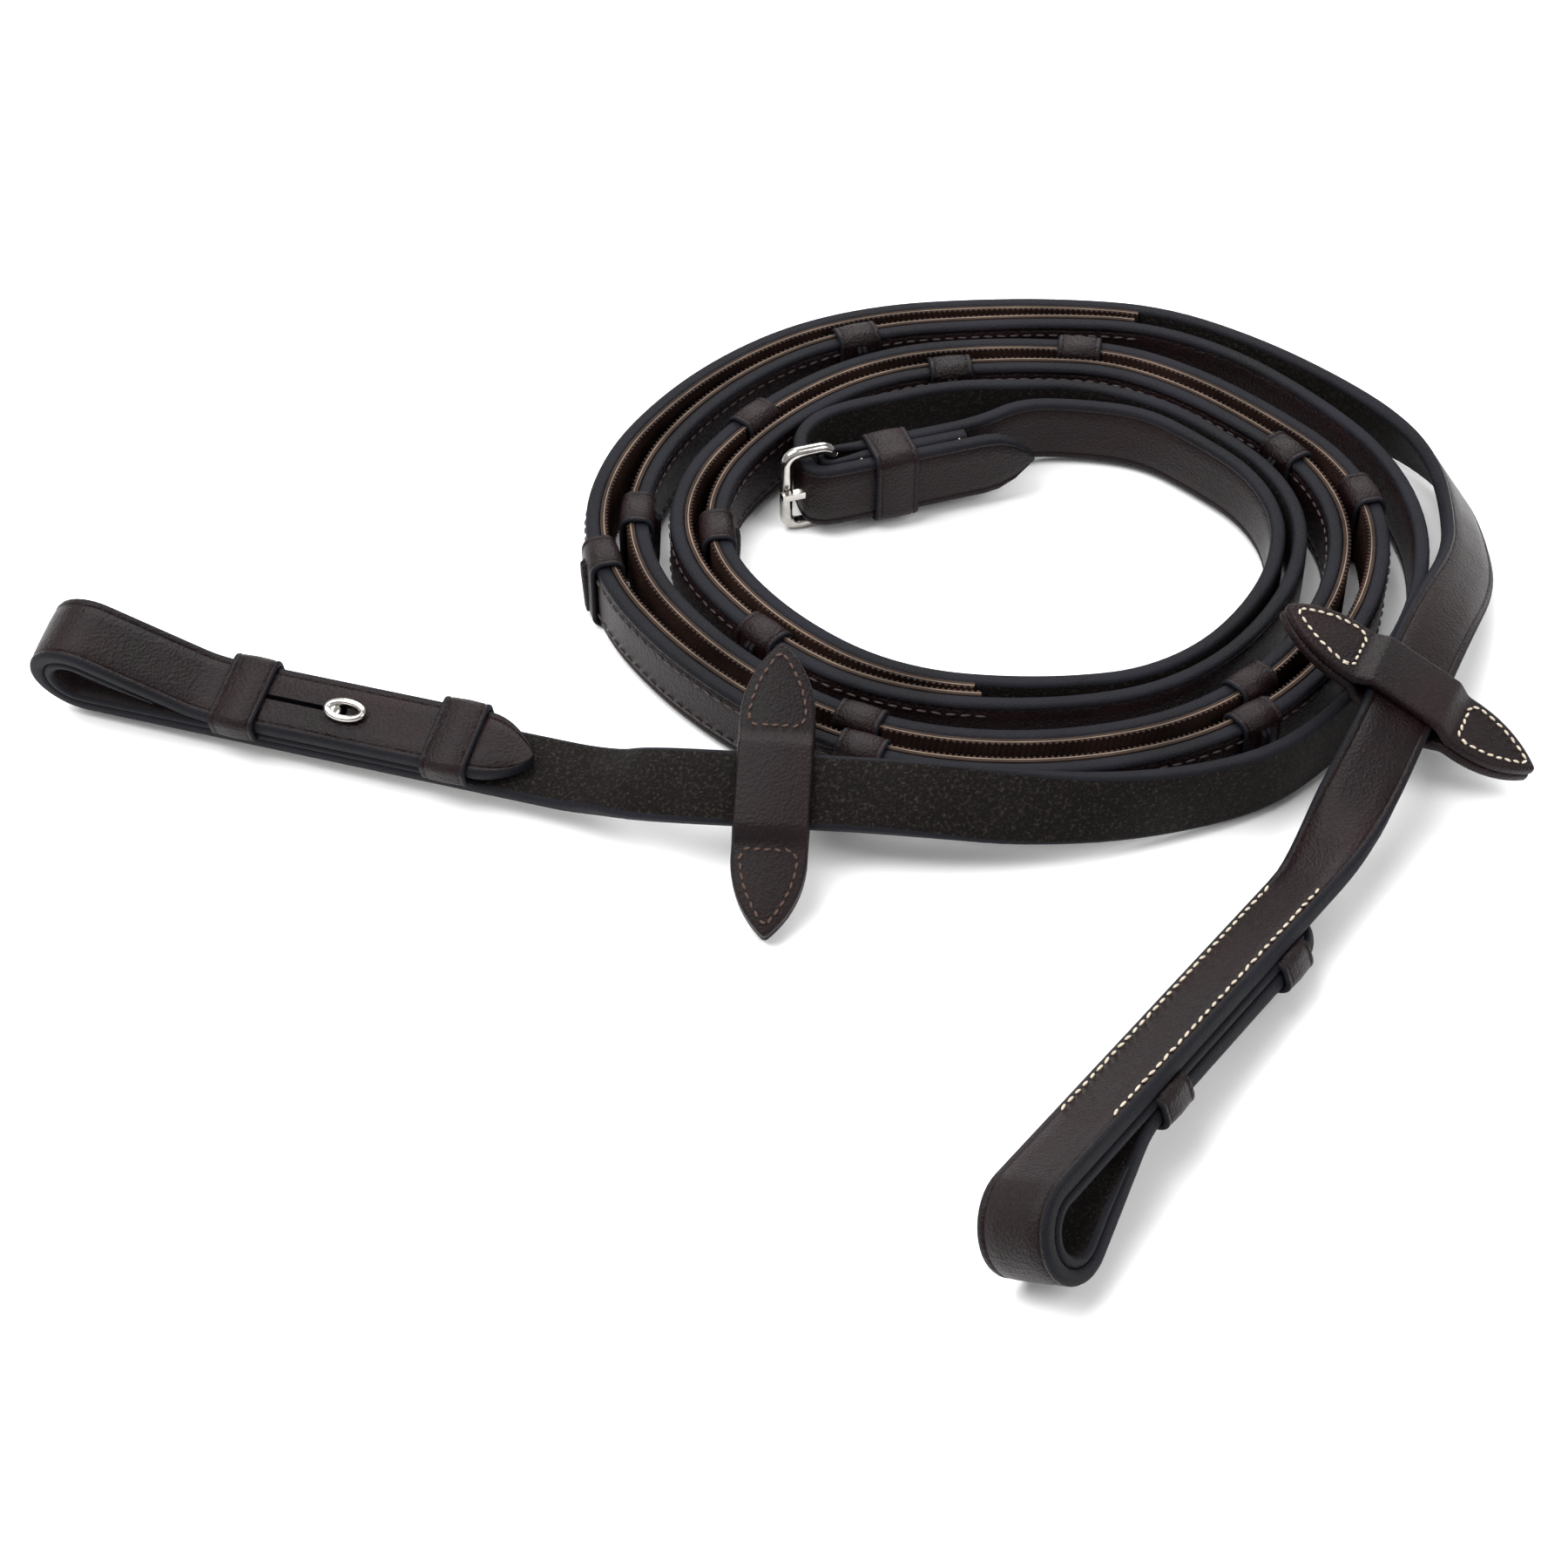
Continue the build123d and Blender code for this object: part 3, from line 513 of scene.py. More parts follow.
# one closed strip along the stations, with its place along and round as UV
def sweep(name, stations, profile, materials, widthShare, shift=None):
    vertices, faces, slots, along = [], [], [], walked(stations)
    count = len(profile)
    for index, (place, run, normal, share) in enumerate(stations):
        across = run.cross(normal)
        wide = widthShare(index)
        for number, (n, w, material) in enumerate(profile):
            offset = n * share + (shift(index, number) if shift else 0)
            vertices.append(place + normal * offset + across * (w * wide))
    for index in range(len(stations) - 1):
        for number in range(count):
            following = (number + 1) % count
            a, b = index * count + number, index * count + following
            faces.append((a, b, b + count, a + count))
            slots.append(profile[number][2])
    faces.append(tuple(range(count)))
    faces.append(tuple((len(stations) - 1) * count + number for number in range(count)))
    slots += [min(2, len(materials) - 1)] * 2
    mesh = bpy.data.meshes.new(name)
    mesh.from_pydata([tuple(v) for v in vertices], [], faces)
    for material in materials:
        mesh.materials.append(material)
    layer = mesh.uv_layers.new(name="alongAcross")
    around = [0]
    for number in range(count):
        one, other = profile[number], profile[(number + 1) % count]
        around.append(around[-1] + math.hypot(one[0] - other[0], one[1] - other[1]))
    for polygon, slotIndex in zip(mesh.polygons, slots):
        polygon.material_index = slotIndex
        polygon.use_smooth = len(polygon.vertices) == 4
        for corner in polygon.loop_indices:
            vertex = mesh.loops[corner].vertex_index
            layer.data[corner].uv = (along[vertex // count], around[vertex % count])
    turnFacesOut(mesh)
    mesh.set_sharp_from_angle(angle=sharpFrom)
    return addObject(name, mesh)


def finishPiece(piece, body, replaced=()):
    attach(piece, body)
    if replaced:
        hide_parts(*replaced)
    return piece


pointShape = {"tip": 0.07, "fullness": 0.75}


# share of the width at each station, for a pointed start or end
def pointedShare(lengths, start=None, end=None):
    total = lengths[-1]

    def share(index):
        wide = 1.0
        for pointed, distance in ((start, lengths[index]), (end, total - lengths[index])):
            if pointed and distance < pointed:
                part = max(distance / pointed, 0)
                full = math.sin(part * math.pi / 2) ** pointShape["fullness"]
                wide = min(wide, pointShape["tip"] + (1 - pointShape["tip"]) * full)
        return wide
    return share


# the slot and stud hole that the billet is buttoned with
def keyholeCutter(end):
    origin, along, normal, across = bitFrame(end)
    outline = []
    half = bitSizes["slotWidth"] / 2
    radius = bitSizes["studHole"]
    opening = math.asin(half / radius)
    steps = 20
    for turn in range(steps + 1):
        angle = opening + (2 * math.pi - 2 * opening) * turn / steps
        outline.append((bitSizes["studAt"] + radius * math.cos(angle), radius * math.sin(angle)))
    outline += [(bitSizes["slotEnd"], -half), (bitSizes["slotEnd"] + half, 0), (bitSizes["slotEnd"], half)]
    skin = 0.0001    # leather left under the hole
    low, high = billetRise - strap["thickness"] / 2 + skin, billetRise + strap["thickness"]
    rings = [[origin + along * x + across * y + normal * level for x, y in outline] for level in (low, high)]
    return addObject("keyhole", prismMesh("keyhole", rings, [edgeLeather]))


# the piece's modifiers become its own mesh
def bake(piece):
    bpy.context.view_layer.update()
    evaluated = piece.evaluated_get(bpy.context.evaluated_depsgraph_get())
    mesh = bpy.data.meshes.new_from_object(evaluated)
    old = piece.data
    piece.modifiers.clear()
    piece.data = mesh
    mesh.name = piece.name
    bpy.data.meshes.remove(old)
    return piece


def cutKeyhole(piece, end):
    cutter = keyholeCutter(end)
    cut = piece.modifiers.new("keyhole", "BOOLEAN")
    cut.operation = "DIFFERENCE"
    cut.solver = "EXACT"
    cut.object = cutter
    bake(piece)
    bpy.data.objects.remove(cutter)


leftAll = chapeStations() + leftStations[1:-1] + bitStations(bitEnds["left"], billetLine())
rightAll = rightStations[:-1] + bitStations(bitEnds["right"], billetLine())
leftLengths, rightLengths = walked(leftAll), walked(rightAll)
leftStrap = sweep("leftRein", leftAll, strapProfile(-1), leathers,
                  pointedShare(leftLengths, end=bitSizes["point"]))
rightStrap = sweep("rightRein", rightAll, strapProfile(1), leathers,
                   pointedShare(rightLengths, start=buckle["tailPoint"], end=bitSizes["point"]))
cutKeyhole(leftStrap, bitEnds["left"])
cutKeyhole(rightStrap, bitEnds["right"])
finishPiece(leftStrap, "reins", ["left_rein_strap"])
finishPiece(rightStrap, "reins", ["right_rein_strap"])
print("straps made, lengths", round(leftLengths[-1], 3), round(rightLengths[-1], 3))

# grip linings
# the lining's edge is a brown band, then a thin bright strip that is a painted highlight, then the toothed face
gripLining = {"thickness": 0.0018, "ends": (9, 47), "tooth": 0.00066, "toothDepth": 0.0008,
              "brown": 0.00072, "cream": 0.00020, "width": 0.0159, "faceShare": 0.985}


# the same route with a station every step
def resample(stations, step):
    lengths = walked(stations)
    count = int(lengths[-1] / step)
    found, index = [], 0
    for number in range(count + 1):
        goal = lengths[-1] * number / count
        while index < len(lengths) - 2 and lengths[index + 1] < goal:
            index += 1
        part = (goal - lengths[index]) / (lengths[index + 1] - lengths[index])
        one, other = stations[index], stations[index + 1]
        found.append([one[0].lerp(other[0], part), one[1].lerp(other[1], part).normalized(),
                      one[2].lerp(other[2], part).normalized(), 1.0])
    return found


# stations between the middles of the runs after two of the coil's corners
def coilStretch(stations, corners, first, last):
    start = corners + first
    end = corners + last
    perRun = strap["samplesPerPoint"]
    return stations[start * perRun:end * perRun + 1]


def makeLining(name, stations, side, replaced):
    half, base = gripLining["width"] / 2, strap["thickness"] / 2
    brown = base + gripLining["brown"]
    cream = brown + gripLining["cream"]
    outer = base + gripLining["thickness"]
    rim = half * gripLining["faceShare"]
    # the thin bright strip between the brown band and the toothed face is a painted highlight
    outline = [(base, -half, 0), (brown, -half, 1), (cream, -half, 2), (outer, -rim, 2),
               (outer, -half / 2, 2), (outer, 0, 2), (outer, half / 2, 2), (outer, rim, 2),
               (cream, half, 1), (brown, half, 0), (base, half, 0)]
    profile = [(n * side, w, material) for n, w, material in outline]

    def teeth(index, number):
        if outline[number][0] == outer:
            return -side * gripLining["toothDepth"] * ((index + number) % 2)
        return 0

    piece = sweep(name, stations, profile, [liningEdge, liningCut, liningFace], lambda index: 1.0, teeth)
    return finishPiece(piece, "reins", [replaced])


leftCorner = 2 + len(routes["leftInner"])
rightCorner = len(buckle["tail"]) + len(routes["rightInner"])
leftLined = coilStretch(leftStations, leftCorner, *gripLining["ends"])
rightLined = coilStretch(rightStations, rightCorner, *gripLining["ends"])
makeLining("leftGripLining", resample(leftLined, gripLining["tooth"]), 1, "left_grip_lining")
makeLining("rightGripLining", resample(rightLined, gripLining["tooth"]), -1, "right_grip_lining")
print("grip linings made")


skive = {"tip": 0.35, "perStation": 0.22}    # share of the thickness at the ends, and its rise


# the layer inside a bit loop, skived thin where it starts and ends
def makeBitLining(side):
    half, thick, turn = strap["width"] / 2, bitSizes["lining"] / 2, bitSizes["liningRound"]
    outline = [(thick, turn - half, 0), (thick, half - turn, 2), (thick - turn, half, 2), (turn - thick, half, 2),
               (-thick, half - turn, 1), (-thick, turn - half, 2), (turn - thick, -half, 2),
               (thick - turn, -half, 2)]
    stations = bitStations(bitEnds[side], liningLine())
    count = len(stations)
    for index, station in enumerate(stations):
        station[3] = min(1.0, skive["tip"] + skive["perStation"] * min(index, count - 1 - index))
    shareOf = [station[3] for station in stations]
    backing = bitEnds[side]["side"]

    def settle(index, number):
        return -backing * thick * (1 - shareOf[index])

    piece = sweep(side + "BitLining", stations, outline, leathers, lambda index: 1.0, settle)
    return finishPiece(piece, "reins", [side + "_bit_lining"])


makeBitLining("left")
makeBitLining("right")
print("bit linings made")

# bands, keepers, stops and metal
def camel(name):
    head, *rest = name.split("_")
    return head + "".join(part.capitalize() for part in rest)


softening = {"merge": 1e-6, "flatten": 1.5, "roundFrom": 30, "flatLimit": 0.35, "segments": 4}


def roundEdges(piece, width, segments):
    rounding = piece.modifiers.new("rounding", "BEVEL")
    rounding.width = width
    rounding.segments = segments
    rounding.limit_method = "ANGLE"
    rounding.angle_limit = math.radians(softening["roundFrom"])
    return bake(piece)


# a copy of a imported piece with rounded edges, and edge paint on faces that lie along the flat axis
def softened(nodeName, width, materials, flatAxis=None):
    work = bmesh.new()
    work.from_mesh(frame["nodes"][nodeName].data)
    bmesh.ops.remove_doubles(work, verts=work.verts, dist=softening["merge"])
    bmesh.ops.dissolve_limit(work, angle_limit=math.radians(softening["flatten"]), verts=work.verts,
                             edges=work.edges)
    mesh = bpy.data.meshes.new(camel(nodeName))
    for face in work.faces:
        face.smooth = True
        face.material_index = 0
        if flatAxis is not None and abs(face.normal.dot(flatAxis)) < softening["flatLimit"]:
            face.material_index = 1
    work.to_mesh(mesh)
    work.free()
    mesh.materials.clear()
    for material in materials:
        mesh.materials.append(material)
    piece = roundEdges(addObject(camel(nodeName), mesh), width, softening["segments"])
    piece.data.set_sharp_from_angle(angle=sharpFrom)
    return finishPiece(piece, bodyOf[nodeName], [nodeName])


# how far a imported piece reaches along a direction
def span(nodeName, origin, direction):
    reaches = [(vertex.co - origin).dot(direction) for vertex in frame["nodes"][nodeName].data.vertices]
    return min(reaches), max(reaches)


def nearestStation(stations, nodeName):
    low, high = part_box(nodeName)
    middle = (Vector(low) + Vector(high)) / 2
    return min(stations, key=lambda station: (station[0] - middle).length)


banded = [grainLeather, edgeLeather]

# a band's own leather, with a crease beside each cut edge
bandShape = {"thickness": 0.0013, "width": 0.0105, "edge": 0.00045, "creaseIn": 0.0013, "creaseWidth": 0.0007,
             "creaseDepth": 0.00022, "corner": 0.0024, "cornerSteps": 7, "bulge": 0.00015, "chamfer": 0.3,
             "gap": 0.00001, "bitCornerShare": 0.7}


def bandProfile():
    half, thick, edge = bandShape["width"] / 2, bandShape["thickness"] / 2, bandShape["edge"]
    crease, groove = half - bandShape["creaseIn"], bandShape["creaseWidth"] / 2
    depth = bandShape["creaseDepth"]
    cut = edge * bandShape["chamfer"]
    return [(thick - cut, cut - half, 1), (thick, edge - half, 0), (thick, -crease - groove, 0),
            (thick - depth, -crease, 0), (thick, groove - crease, 0), (thick + bandShape["bulge"], 0, 0),
            (thick, crease - groove, 0), (thick - depth, crease, 0), (thick, crease + groove, 0),
            (thick, half - edge, 1), (thick - cut, half - cut, 1), (thick - edge, half, 1),
            (edge - thick, half, 1), (-thick, half - edge, 1), (-thick, edge - half, 1), (edge - thick, -half, 1),
            (thick - edge, -half, 1)]


# a rounded box outline, seen along the strap, from the middle of its first side
def roundedOutline(low, high, corner):
    points = [((low[0] + high[0]) / 2 + bandShape["gap"], low[1])]
    centres = ((high[0] - corner, low[1] + corner, -90), (high[0] - corner, high[1] - corner, 0),
               (low[0] + corner, high[1] - corner, 90), (low[0] + corner, low[1] + corner, 180))
    for x, y, first in centres:
        for step in range(bandShape["cornerSteps"] + 1):
            angle = math.radians(first + 90 * step / bandShape["cornerSteps"])
            points.append((x + corner * math.cos(angle), y + corner * math.sin(angle)))
    points.append(((low[0] + high[0]) / 2 - bandShape["gap"], low[1]))
    return points


# a closed band: right and up are the directions of its outline's x and y
def wrappedBand(name, middle, right, up, outline):
    line = [middle + right * x + up * y for x, y in outline]
    stations = []
    for place, run in zip(line, tangents(line)):
        stations.append([place, run, run.cross(right.cross(up)), 1.0])
    return sweep(name, stations, bandProfile(), banded, lambda index: 1.0)


# the seam's belly, shoulder and top are shares of the stop's height
handStop = {"clearance": 0.00045, "face": 0.0010, "seamFoot": 0.0006, "seamHead": 0.0012, "seamWidth": 0.0026,
            "seamSunk": 0.0005, "seamBottom": 0.0020, "seamBelly": 0.68, "seamShoulder": 0.84, "seamTop": 0.93,
            "seamRound": 0.0004, "leafShare": 0.46, "leafShift": 0.25}


# one leaf of the seam where a hand stop's ends are sewn together
def seamLeaf(name, middle, right, up, along, outline, width):
    rings = [[middle + right * x + up * y + along * side * width / 2 for x, y in outline]
             for side in (-1, 1)]
    mesh = prismMesh(name, rings, banded)
    for face in mesh.polygons:
        face.use_smooth = True
        face.material_index = 0 if abs(face.normal.dot(along)) > 0.9 else 1
    return roundEdges(addObject(name, mesh), handStop["seamRound"], 3)


def joined(pieces):
    first = pieces[0]
    with bpy.context.temp_override(active_object=first, selected_editable_objects=pieces):
        bpy.ops.object.join()
    return first


def makeHandStop(nodeName):
    stations, grainSide = {"left": (leftStations, -1), "right": (rightStations, 1)}[nodeName.split("_")[0]]
    station = nearestStation(stations, nodeName)
    along = Vector((station[1].x, station[1].y, 0)).normalized()
    grain = Vector((-along.y, along.x, 0)) * grainSide
    up = Vector((0, 0, 1))
    (first, last), (bottom, top) = [span(nodeName, Vector(), way) for way in (along, up)]
    liningOut = span(nodeName, Vector(), grain)[0] + bandShape["thickness"] / 2
    grainOut = (liningOut + strap["thickness"] + gripLining["thickness"] + 2 * handStop["clearance"]
                + 2 * handStop["face"] - bandShape["thickness"])
    low, high = bottom + bandShape["thickness"] / 2, top - bandShape["thickness"] / 2
    middle = along * ((first + last) / 2)
    outline = roundedOutline((liningOut, low), (grainOut, high), bandShape["corner"])
    band = wrappedBand(camel(nodeName), middle, grain, up, outline)
    face = grainOut + bandShape["thickness"] / 2
    inner = face - handStop["seamSunk"]
    foot, head = face + handStop["seamFoot"], face + handStop["seamHead"]
    fin = [(inner, handStop["seamBottom"]), (foot, handStop["seamBottom"]), (head, high * handStop["seamBelly"]),
           (head, high * handStop["seamShoulder"]), (inner, high * handStop["seamTop"])]
    apart = handStop["seamWidth"] * handStop["leafShift"]
    leaves = [seamLeaf("seam", middle + along * shift, grain, up, along, fin,
                       handStop["seamWidth"] * handStop["leafShare"]) for shift in (-apart, apart)]
    return finishPiece(joined([band] + leaves), "reins", [nodeName])


def makeKeeper(nodeName):
    if nodeName == "buckle_keeper":
        origin, along, up, right = buckleOrigin, buckleAlong, Vector((0, 0, 1)), buckleFront
        corner = bandShape["corner"]
    else:
        origin, along, up, right = bitFrame(bitEnds[nodeName.split("_")[0]])
        corner = bandShape["corner"] * bandShape["bitCornerShare"]
    (first, last), (left, far), (low, high) = [span(nodeName, origin, way) for way in (along, right, up)]
    inset = bandShape["thickness"] / 2
    outline = roundedOutline((left + inset, low + inset), (far - inset, high - inset), corner)
    band = wrappedBand(camel(nodeName), origin + along * ((first + last) / 2), right, up, outline)
    return finishPiece(band, "reins", [nodeName])


# metal: a bent bar frame and a looped stud head
metalShape = {"bar": 0.0015, "barDeep": 0.92, "corner": 0.0030, "tongueRound": 0.0006, "studWire": 0.00085,
              "studLength": 0.0050, "studWidth": 0.0030, "neckWide": 0.0016, "neckDeep": 0.0011,
              "neckStraight": 0.002, "neckBend": 0.0008}


def roundProfile(across, deep, count=16):
    return [(deep * math.cos(2 * math.pi * step / count), across * math.sin(2 * math.pi * step / count), 0)
            for step in range(count)]


def makeBuckleFrame(nodeName):
    bar = metalShape["bar"]
    far = span(nodeName, buckleOrigin, buckleAlong)[1] - bar
    half = span(nodeName, buckleOrigin, Vector((0, 0, 1)))[1] - bar
    level = sum(span(nodeName, buckleOrigin, buckleFront)) / 2
    outline = roundedOutline((buckle["barAt"], -half), (far, half), metalShape["corner"])
    meet = len(outline) // 2 + bandShape["cornerSteps"] - 1    # the bar's two ends meet in this corner
    outline = outline[meet:] + outline[1:meet + 1]
    line = [buckleOrigin + buckleAlong * x + buckleFront * level + Vector((0, 0, y)) for x, y in outline]
    stations = [[place, run, buckleFront, 1.0] for place, run in zip(line, tangents(line))]
    piece = sweep(camel(nodeName), stations, roundProfile(bar, bar * metalShape["barDeep"]), [polishedSteel],
                  lambda index: 1.0)
    return finishPiece(piece, "buckle_frame", [nodeName])


def makeStud(nodeName):
    origin, along, normal, across = bitFrame(bitEnds[nodeName.split("_")[0]])
    corners = [vertex.co - origin for vertex in frame["nodes"][nodeName].data.vertices]
    wire = metalShape["studWire"]
    top = span(nodeName, origin, normal)[1] - wire
    reaches = [corner.dot(along) for corner in corners if corner.dot(normal) > top - wire]
    middle = origin + along * ((min(reaches) + max(reaches)) / 2) + normal * top
    line, steps = [], 40
    for step in range(steps + 1):
        angle = 2 * math.pi * step / steps
        line.append(middle + along * (metalShape["studLength"] - wire) * math.cos(angle)
                    + across * (metalShape["studWidth"] - wire) * math.sin(angle))
    runs = tangents(line)
    runs[0] = runs[-1] = across
    stations = [[place, run, normal, 1.0] for place, run in zip(line, runs)]
    ring = sweep(camel(nodeName), stations, roundProfile(wire, wire, 12), [polishedSteel], lambda index: 1.0)
    foot = origin + along * bitSizes["studAt"]
    levels = (strap["thickness"] / 2, top - metalShape["neckStraight"], top - metalShape["neckBend"], top)
    neckStations = [[foot + normal * level, normal, along, 1.0] for level in levels]
    neckStations[-1][0] = foot + normal * top + along * metalShape["neckBend"]
    neck = sweep("neck", neckStations, roundProfile(metalShape["neckWide"], metalShape["neckDeep"], 14),
                 [polishedSteel], lambda index: 1.0)
    return finishPiece(joined([ring, neck]), "reins", [nodeName])


# a rein stop's sizes, the route point that it sits on, and its stitched triangles
stopShape = {"length": 0.0645, "width": 0.016, "point": 0.017, "leaf": 0.0024, "rounding": 0.0009,
             "routePoint": {"left": 4, "right": 6}, "inset": 0.0021, "innerAt": 0.0135, "innerShare": 0.8,
             "tipIn": 1.3, "fullness": 0.8, "threadLift": 0.0001}


# a rein stop's middle, the strap's direction there and its face normal
def stopFrame(side):
    controls = freePoints(routes[side + "Outer"])
    at = stopShape["routePoint"][side]
    run = (controls[at + 1][0] - controls[at - 1][0]).normalized()
    return controls[at][0], run, faceNormal(run, controls[at][1])


for nodeName in list(frame["nodes"]):
    if "hand_stop" in nodeName:
        makeHandStop(nodeName)
    elif nodeName.endswith("_keeper"):
        makeKeeper(nodeName)
    elif "rein_stop" in nodeName:
        softened(nodeName, stopShape["rounding"], banded, flatAxis=stopFrame(nodeName.split("_")[0])[2])
    elif nodeName == "buckle_frame":
        makeBuckleFrame(nodeName)
    elif nodeName == "buckle_tongue":
        softened(nodeName, metalShape["tongueRound"], [polishedSteel])
    elif nodeName.endswith("hook_stud"):
        makeStud(nodeName)
print("bands, keepers, stops and metal made")


# stitches along every line of the mesh that it is given
def stitchTree(material):
    tree = bpy.data.node_groups.new("stitchRows", "GeometryNodeTree")
    tree.interface.new_socket("Geometry", in_out="INPUT", socket_type="NodeSocketGeometry")
    for name, value in (("Stitch Length", 0.0021), ("Stitch Width", 0.00062), ("Stitch Spacing", 0.0027),
                        ("Slant", 0.16)):
        socket = tree.interface.new_socket(name, in_out="INPUT", socket_type="NodeSocketFloat")
        socket.default_value = value
    seed = tree.interface.new_socket("Seed", in_out="INPUT", socket_type="NodeSocketInt")
    seed.default_value = 7
    tree.interface.new_socket("Geometry", in_out="OUTPUT", socket_type="NodeSocketGeometry")
    nodes, links = tree.nodes, tree.links
    given = nodes.new("NodeGroupInput")
    result = nodes.new("NodeGroupOutput")
    lines = nodes.new("GeometryNodeMeshToCurve")
    places = nodes.new("GeometryNodeCurveToPoints")
    places.mode = "LENGTH"
    bead = nodes.new("GeometryNodeMeshIcoSphere")
    bead.inputs["Radius"].default_value = 0.5
    bead.inputs["Subdivisions"].default_value = 2
    size = nodes.new("ShaderNodeCombineXYZ")
    aim = nodes.new("FunctionNodeAlignRotationToVector")
    aim.axis = "X"
    wobble = nodes.new("FunctionNodeRandomValue")
    wobble.data_type = "FLOAT_VECTOR"
    negative = nodes.new("ShaderNodeMath")
    negative.operation = "MULTIPLY"
    negative.inputs[1].default_value = -1
    turned = nodes.new("FunctionNodeRotateRotation")
    turned.rotation_space = "LOCAL"
    placed = nodes.new("GeometryNodeInstanceOnPoints")
    real = nodes.new("GeometryNodeRealizeInstances")
    painted = nodes.new("GeometryNodeSetMaterial")
    painted.inputs["Material"].default_value = material
    for source, output, target, entry in (
            (given, "Geometry", lines, "Mesh"), (lines, "Curve", places, "Curve"),
            (given, "Stitch Spacing", places, "Length"), (given, "Stitch Length", size, "X"),
            (given, "Stitch Width", size, "Y"), (given, "Stitch Width", size, "Z"),
            (places, "Tangent", aim, "Vector"), (given, "Slant", negative, 0), (negative, 0, wobble, 0),
            (given, "Slant", wobble, 1), (given, "Seed", wobble, "Seed"), (aim, "Rotation", turned, "Rotation"),
            (wobble, 0, turned, "Rotate By"), (places, "Points", placed, "Points"),
            (bead, "Mesh", placed, "Instance"), (turned, "Rotation", placed, "Rotation"),
            (size, "Vector", placed, "Scale"), (placed, "Instances", real, "Geometry"),
            (real, "Geometry", painted, "Geometry"), (painted, "Geometry", result, "Geometry")):
        links.new(source.outputs[output], target.inputs[entry])
    return tree


def stitchPiece(name, rows, material, body, sizes):
    vertices, edges = [], []
    for row in rows:
        start = len(vertices)
        vertices += [tuple(place) for place in row]
        edges += [(start + i, start + i + 1) for i in range(len(row) - 1)]
    mesh = bpy.data.meshes.new(name)
    mesh.from_pydata(vertices, edges, [])
    piece = addObject(name, mesh)
    tree = stitchTree(material)
    stitches = piece.modifiers.new("stitches", "NODES")
    stitches.node_group = tree
    for item in tree.interface.items_tree:
        if item.item_type == "SOCKET" and item.in_out == "INPUT" and item.name in sizes:
            stitches[item.identifier] = sizes[item.name]
    bake(piece)
    for polygon in piece.data.polygons:
        polygon.use_smooth = True
    return finishPiece(piece, body)


gripStitch = {"Stitch Length": 0.0024, "Stitch Width": 0.0006, "Stitch Spacing": 0.0032, "Slant": 0.10}
bitStitch = {"Stitch Length": 0.0020, "Stitch Width": 0.00064, "Stitch Spacing": 0.0027, "Slant": 0.22}
stopStitch = {"Stitch Length": 0.0016, "Stitch Width": 0.00062, "Stitch Spacing": 0.0021, "Slant": 0.25}


# a line on the strap's face: across from its middle, depth out from its centre plane
def rowBeside(stations, across, depth):
    return [place + run.cross(normal) * across + normal * depth for place, run, normal, share in stations]


# where the rows run: in from the strap's edge, above its face, across the bit end and the chape
threadLines = {"gripIn": 0.0030, "lift": 0.00012, "bitAcross": 0.0060, "bitRow": range(0, 83, 2),
               "chapePlaces": ((0.0165, 0.0070), (-0.0080, 0.0070)), "chapeRow": range(-7, 8), "unit": 0.001}
gripIn = strap["width"] / 2 - threadLines["gripIn"]
surface = strap["thickness"] / 2 + threadLines["lift"]
gripRows = [rowBeside(leftLined, side * gripIn, -surface) for side in (1, -1)]
gripRows += [rowBeside(rightLined, side * gripIn, surface) for side in (1, -1)]
stitchPiece("gripStitching", gripRows, darkThread, "reins", gripStitch)


def bitRows(end):
    origin, along, normal, across = bitFrame(end)
    return [[origin + along * (threadLines["unit"] * x) + across * (side * threadLines["bitAcross"])
             - normal * surface for x in threadLines["bitRow"]] for side in (1, -1)]


stitchPiece("bitEndStitching", bitRows(bitEnds["left"]) + bitRows(bitEnds["right"]), creamThread,
            "reins", bitStitch)

chapeRows = [[bucklePoint(u, n) + Vector((0, 0, z * threadLines["unit"])) for z in threadLines["chapeRow"]]
             for u, n in threadLines["chapePlaces"]]
stitchPiece("chapeStitching", chapeRows, creamThread, "reins", bitStitch)


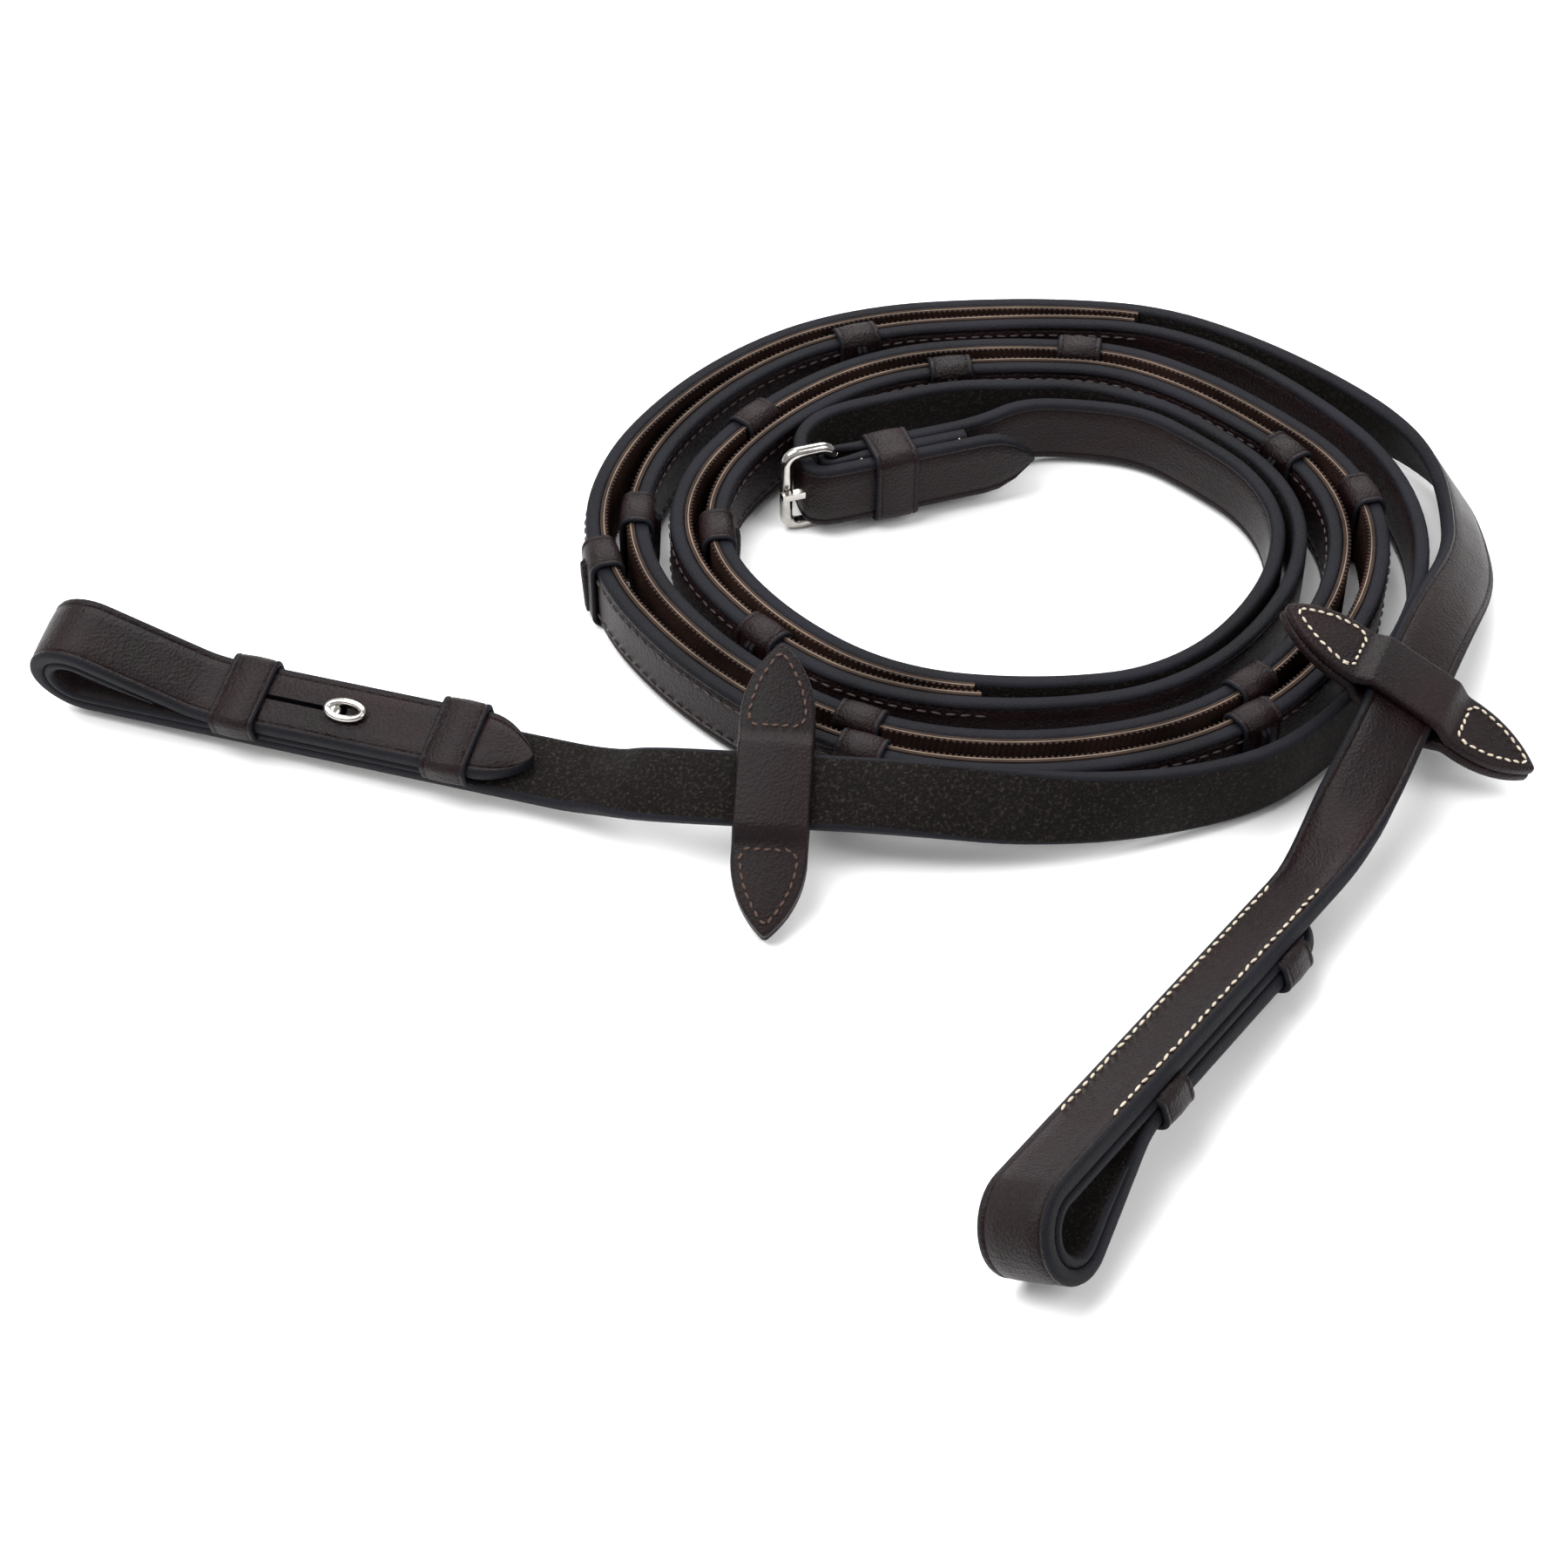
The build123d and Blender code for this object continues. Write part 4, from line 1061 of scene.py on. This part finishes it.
# the stitched triangle at each end of a leaf
def stopRows(side, face):
    middle, run, normal = stopFrame(side)
    normal = normal * face
    longAxis = run.cross(normal)
    tip = stopShape["length"] / 2 - stopShape["inset"] * stopShape["tipIn"]
    shoulder = stopShape["length"] / 2 - stopShape["point"]
    wide = stopShape["width"] / 2 - stopShape["inset"]
    inner, innerWide = stopShape["innerAt"], wide * stopShape["innerShare"]
    level = normal * (stopShape["leaf"] + stopShape["threadLift"])
    rows, steps = [], 12
    for end in (1, -1):
        outline = [(shoulder, wide)]
        for step in range(1, steps):
            share = step / steps
            outline.append((shoulder + (tip - shoulder) * share,
                            wide * math.cos(share * math.pi / 2) ** stopShape["fullness"]))
        outline = outline + [(tip, 0)] + [(x, -y) for x, y in reversed(outline)]
        outline = outline + [(inner, -innerWide), (inner, innerWide), (shoulder, wide)]
        rows.append([middle + longAxis * (x * end) + run * y + level for x, y in outline])
    return rows


for side, upperThread, lowerThread in (("left", brownThread, creamThread), ("right", creamThread, brownThread)):
    body = side + "_rein_stop"
    stitchPiece(side + "StopStitchingUpper", stopRows(side, 1), upperThread, body, stopStitch)
    stitchPiece(side + "StopStitchingLower", stopRows(side, -1), lowerThread, body, stopStitch)
print("stitching made")

# studio
studio = {"floor": 6.0, "floorLevel": -0.0002, "paper": (0.97, 0.97, 0.97, 1), "world": 0.50,
          "lights": [("keyLight", (-0.6, -0.1, 1.2), 1.0, 24.0), ("fillLight", (0.9, -0.5, 1.0), 0.8, 8.0),
                     ("rearLight", (0.1, 1.0, 0.9), 0.9, 17.0)]}


def makeStudio():
    reach, level = studio["floor"], studio["floorLevel"]
    mesh = bpy.data.meshes.new("studioFloor")
    mesh.from_pydata([(-reach, -reach, level), (reach, -reach, level), (reach, reach, level),
                      (-reach, reach, level)], [], [(0, 1, 2, 3)])
    floor = addObject("studioFloor", mesh)
    paper, nodes, links, shader = newMaterial("palePaper")
    shader.inputs["Base Color"].default_value = studio["paper"]
    shader.inputs["Roughness"].default_value = 0.9
    mesh.materials.append(paper)
    world = bpy.data.worlds.new("studioWorld")
    world.use_nodes = True
    world.node_tree.nodes["Background"].inputs["Color"].default_value = (1, 1, 1, 1)
    world.node_tree.nodes["Background"].inputs["Strength"].default_value = studio["world"]
    scene.world = world
    for name, place, size, power in studio["lights"]:
        data = bpy.data.lights.new(name, "AREA")
        data.size = size
        data.energy = power
        light = addObject(name, data)
        light.matrix_world = aimed(place, (0, 0, 0))


makeStudio()
scene.view_settings.view_transform = "Standard"
print("studio lit")

bpy.context.view_layer.update()
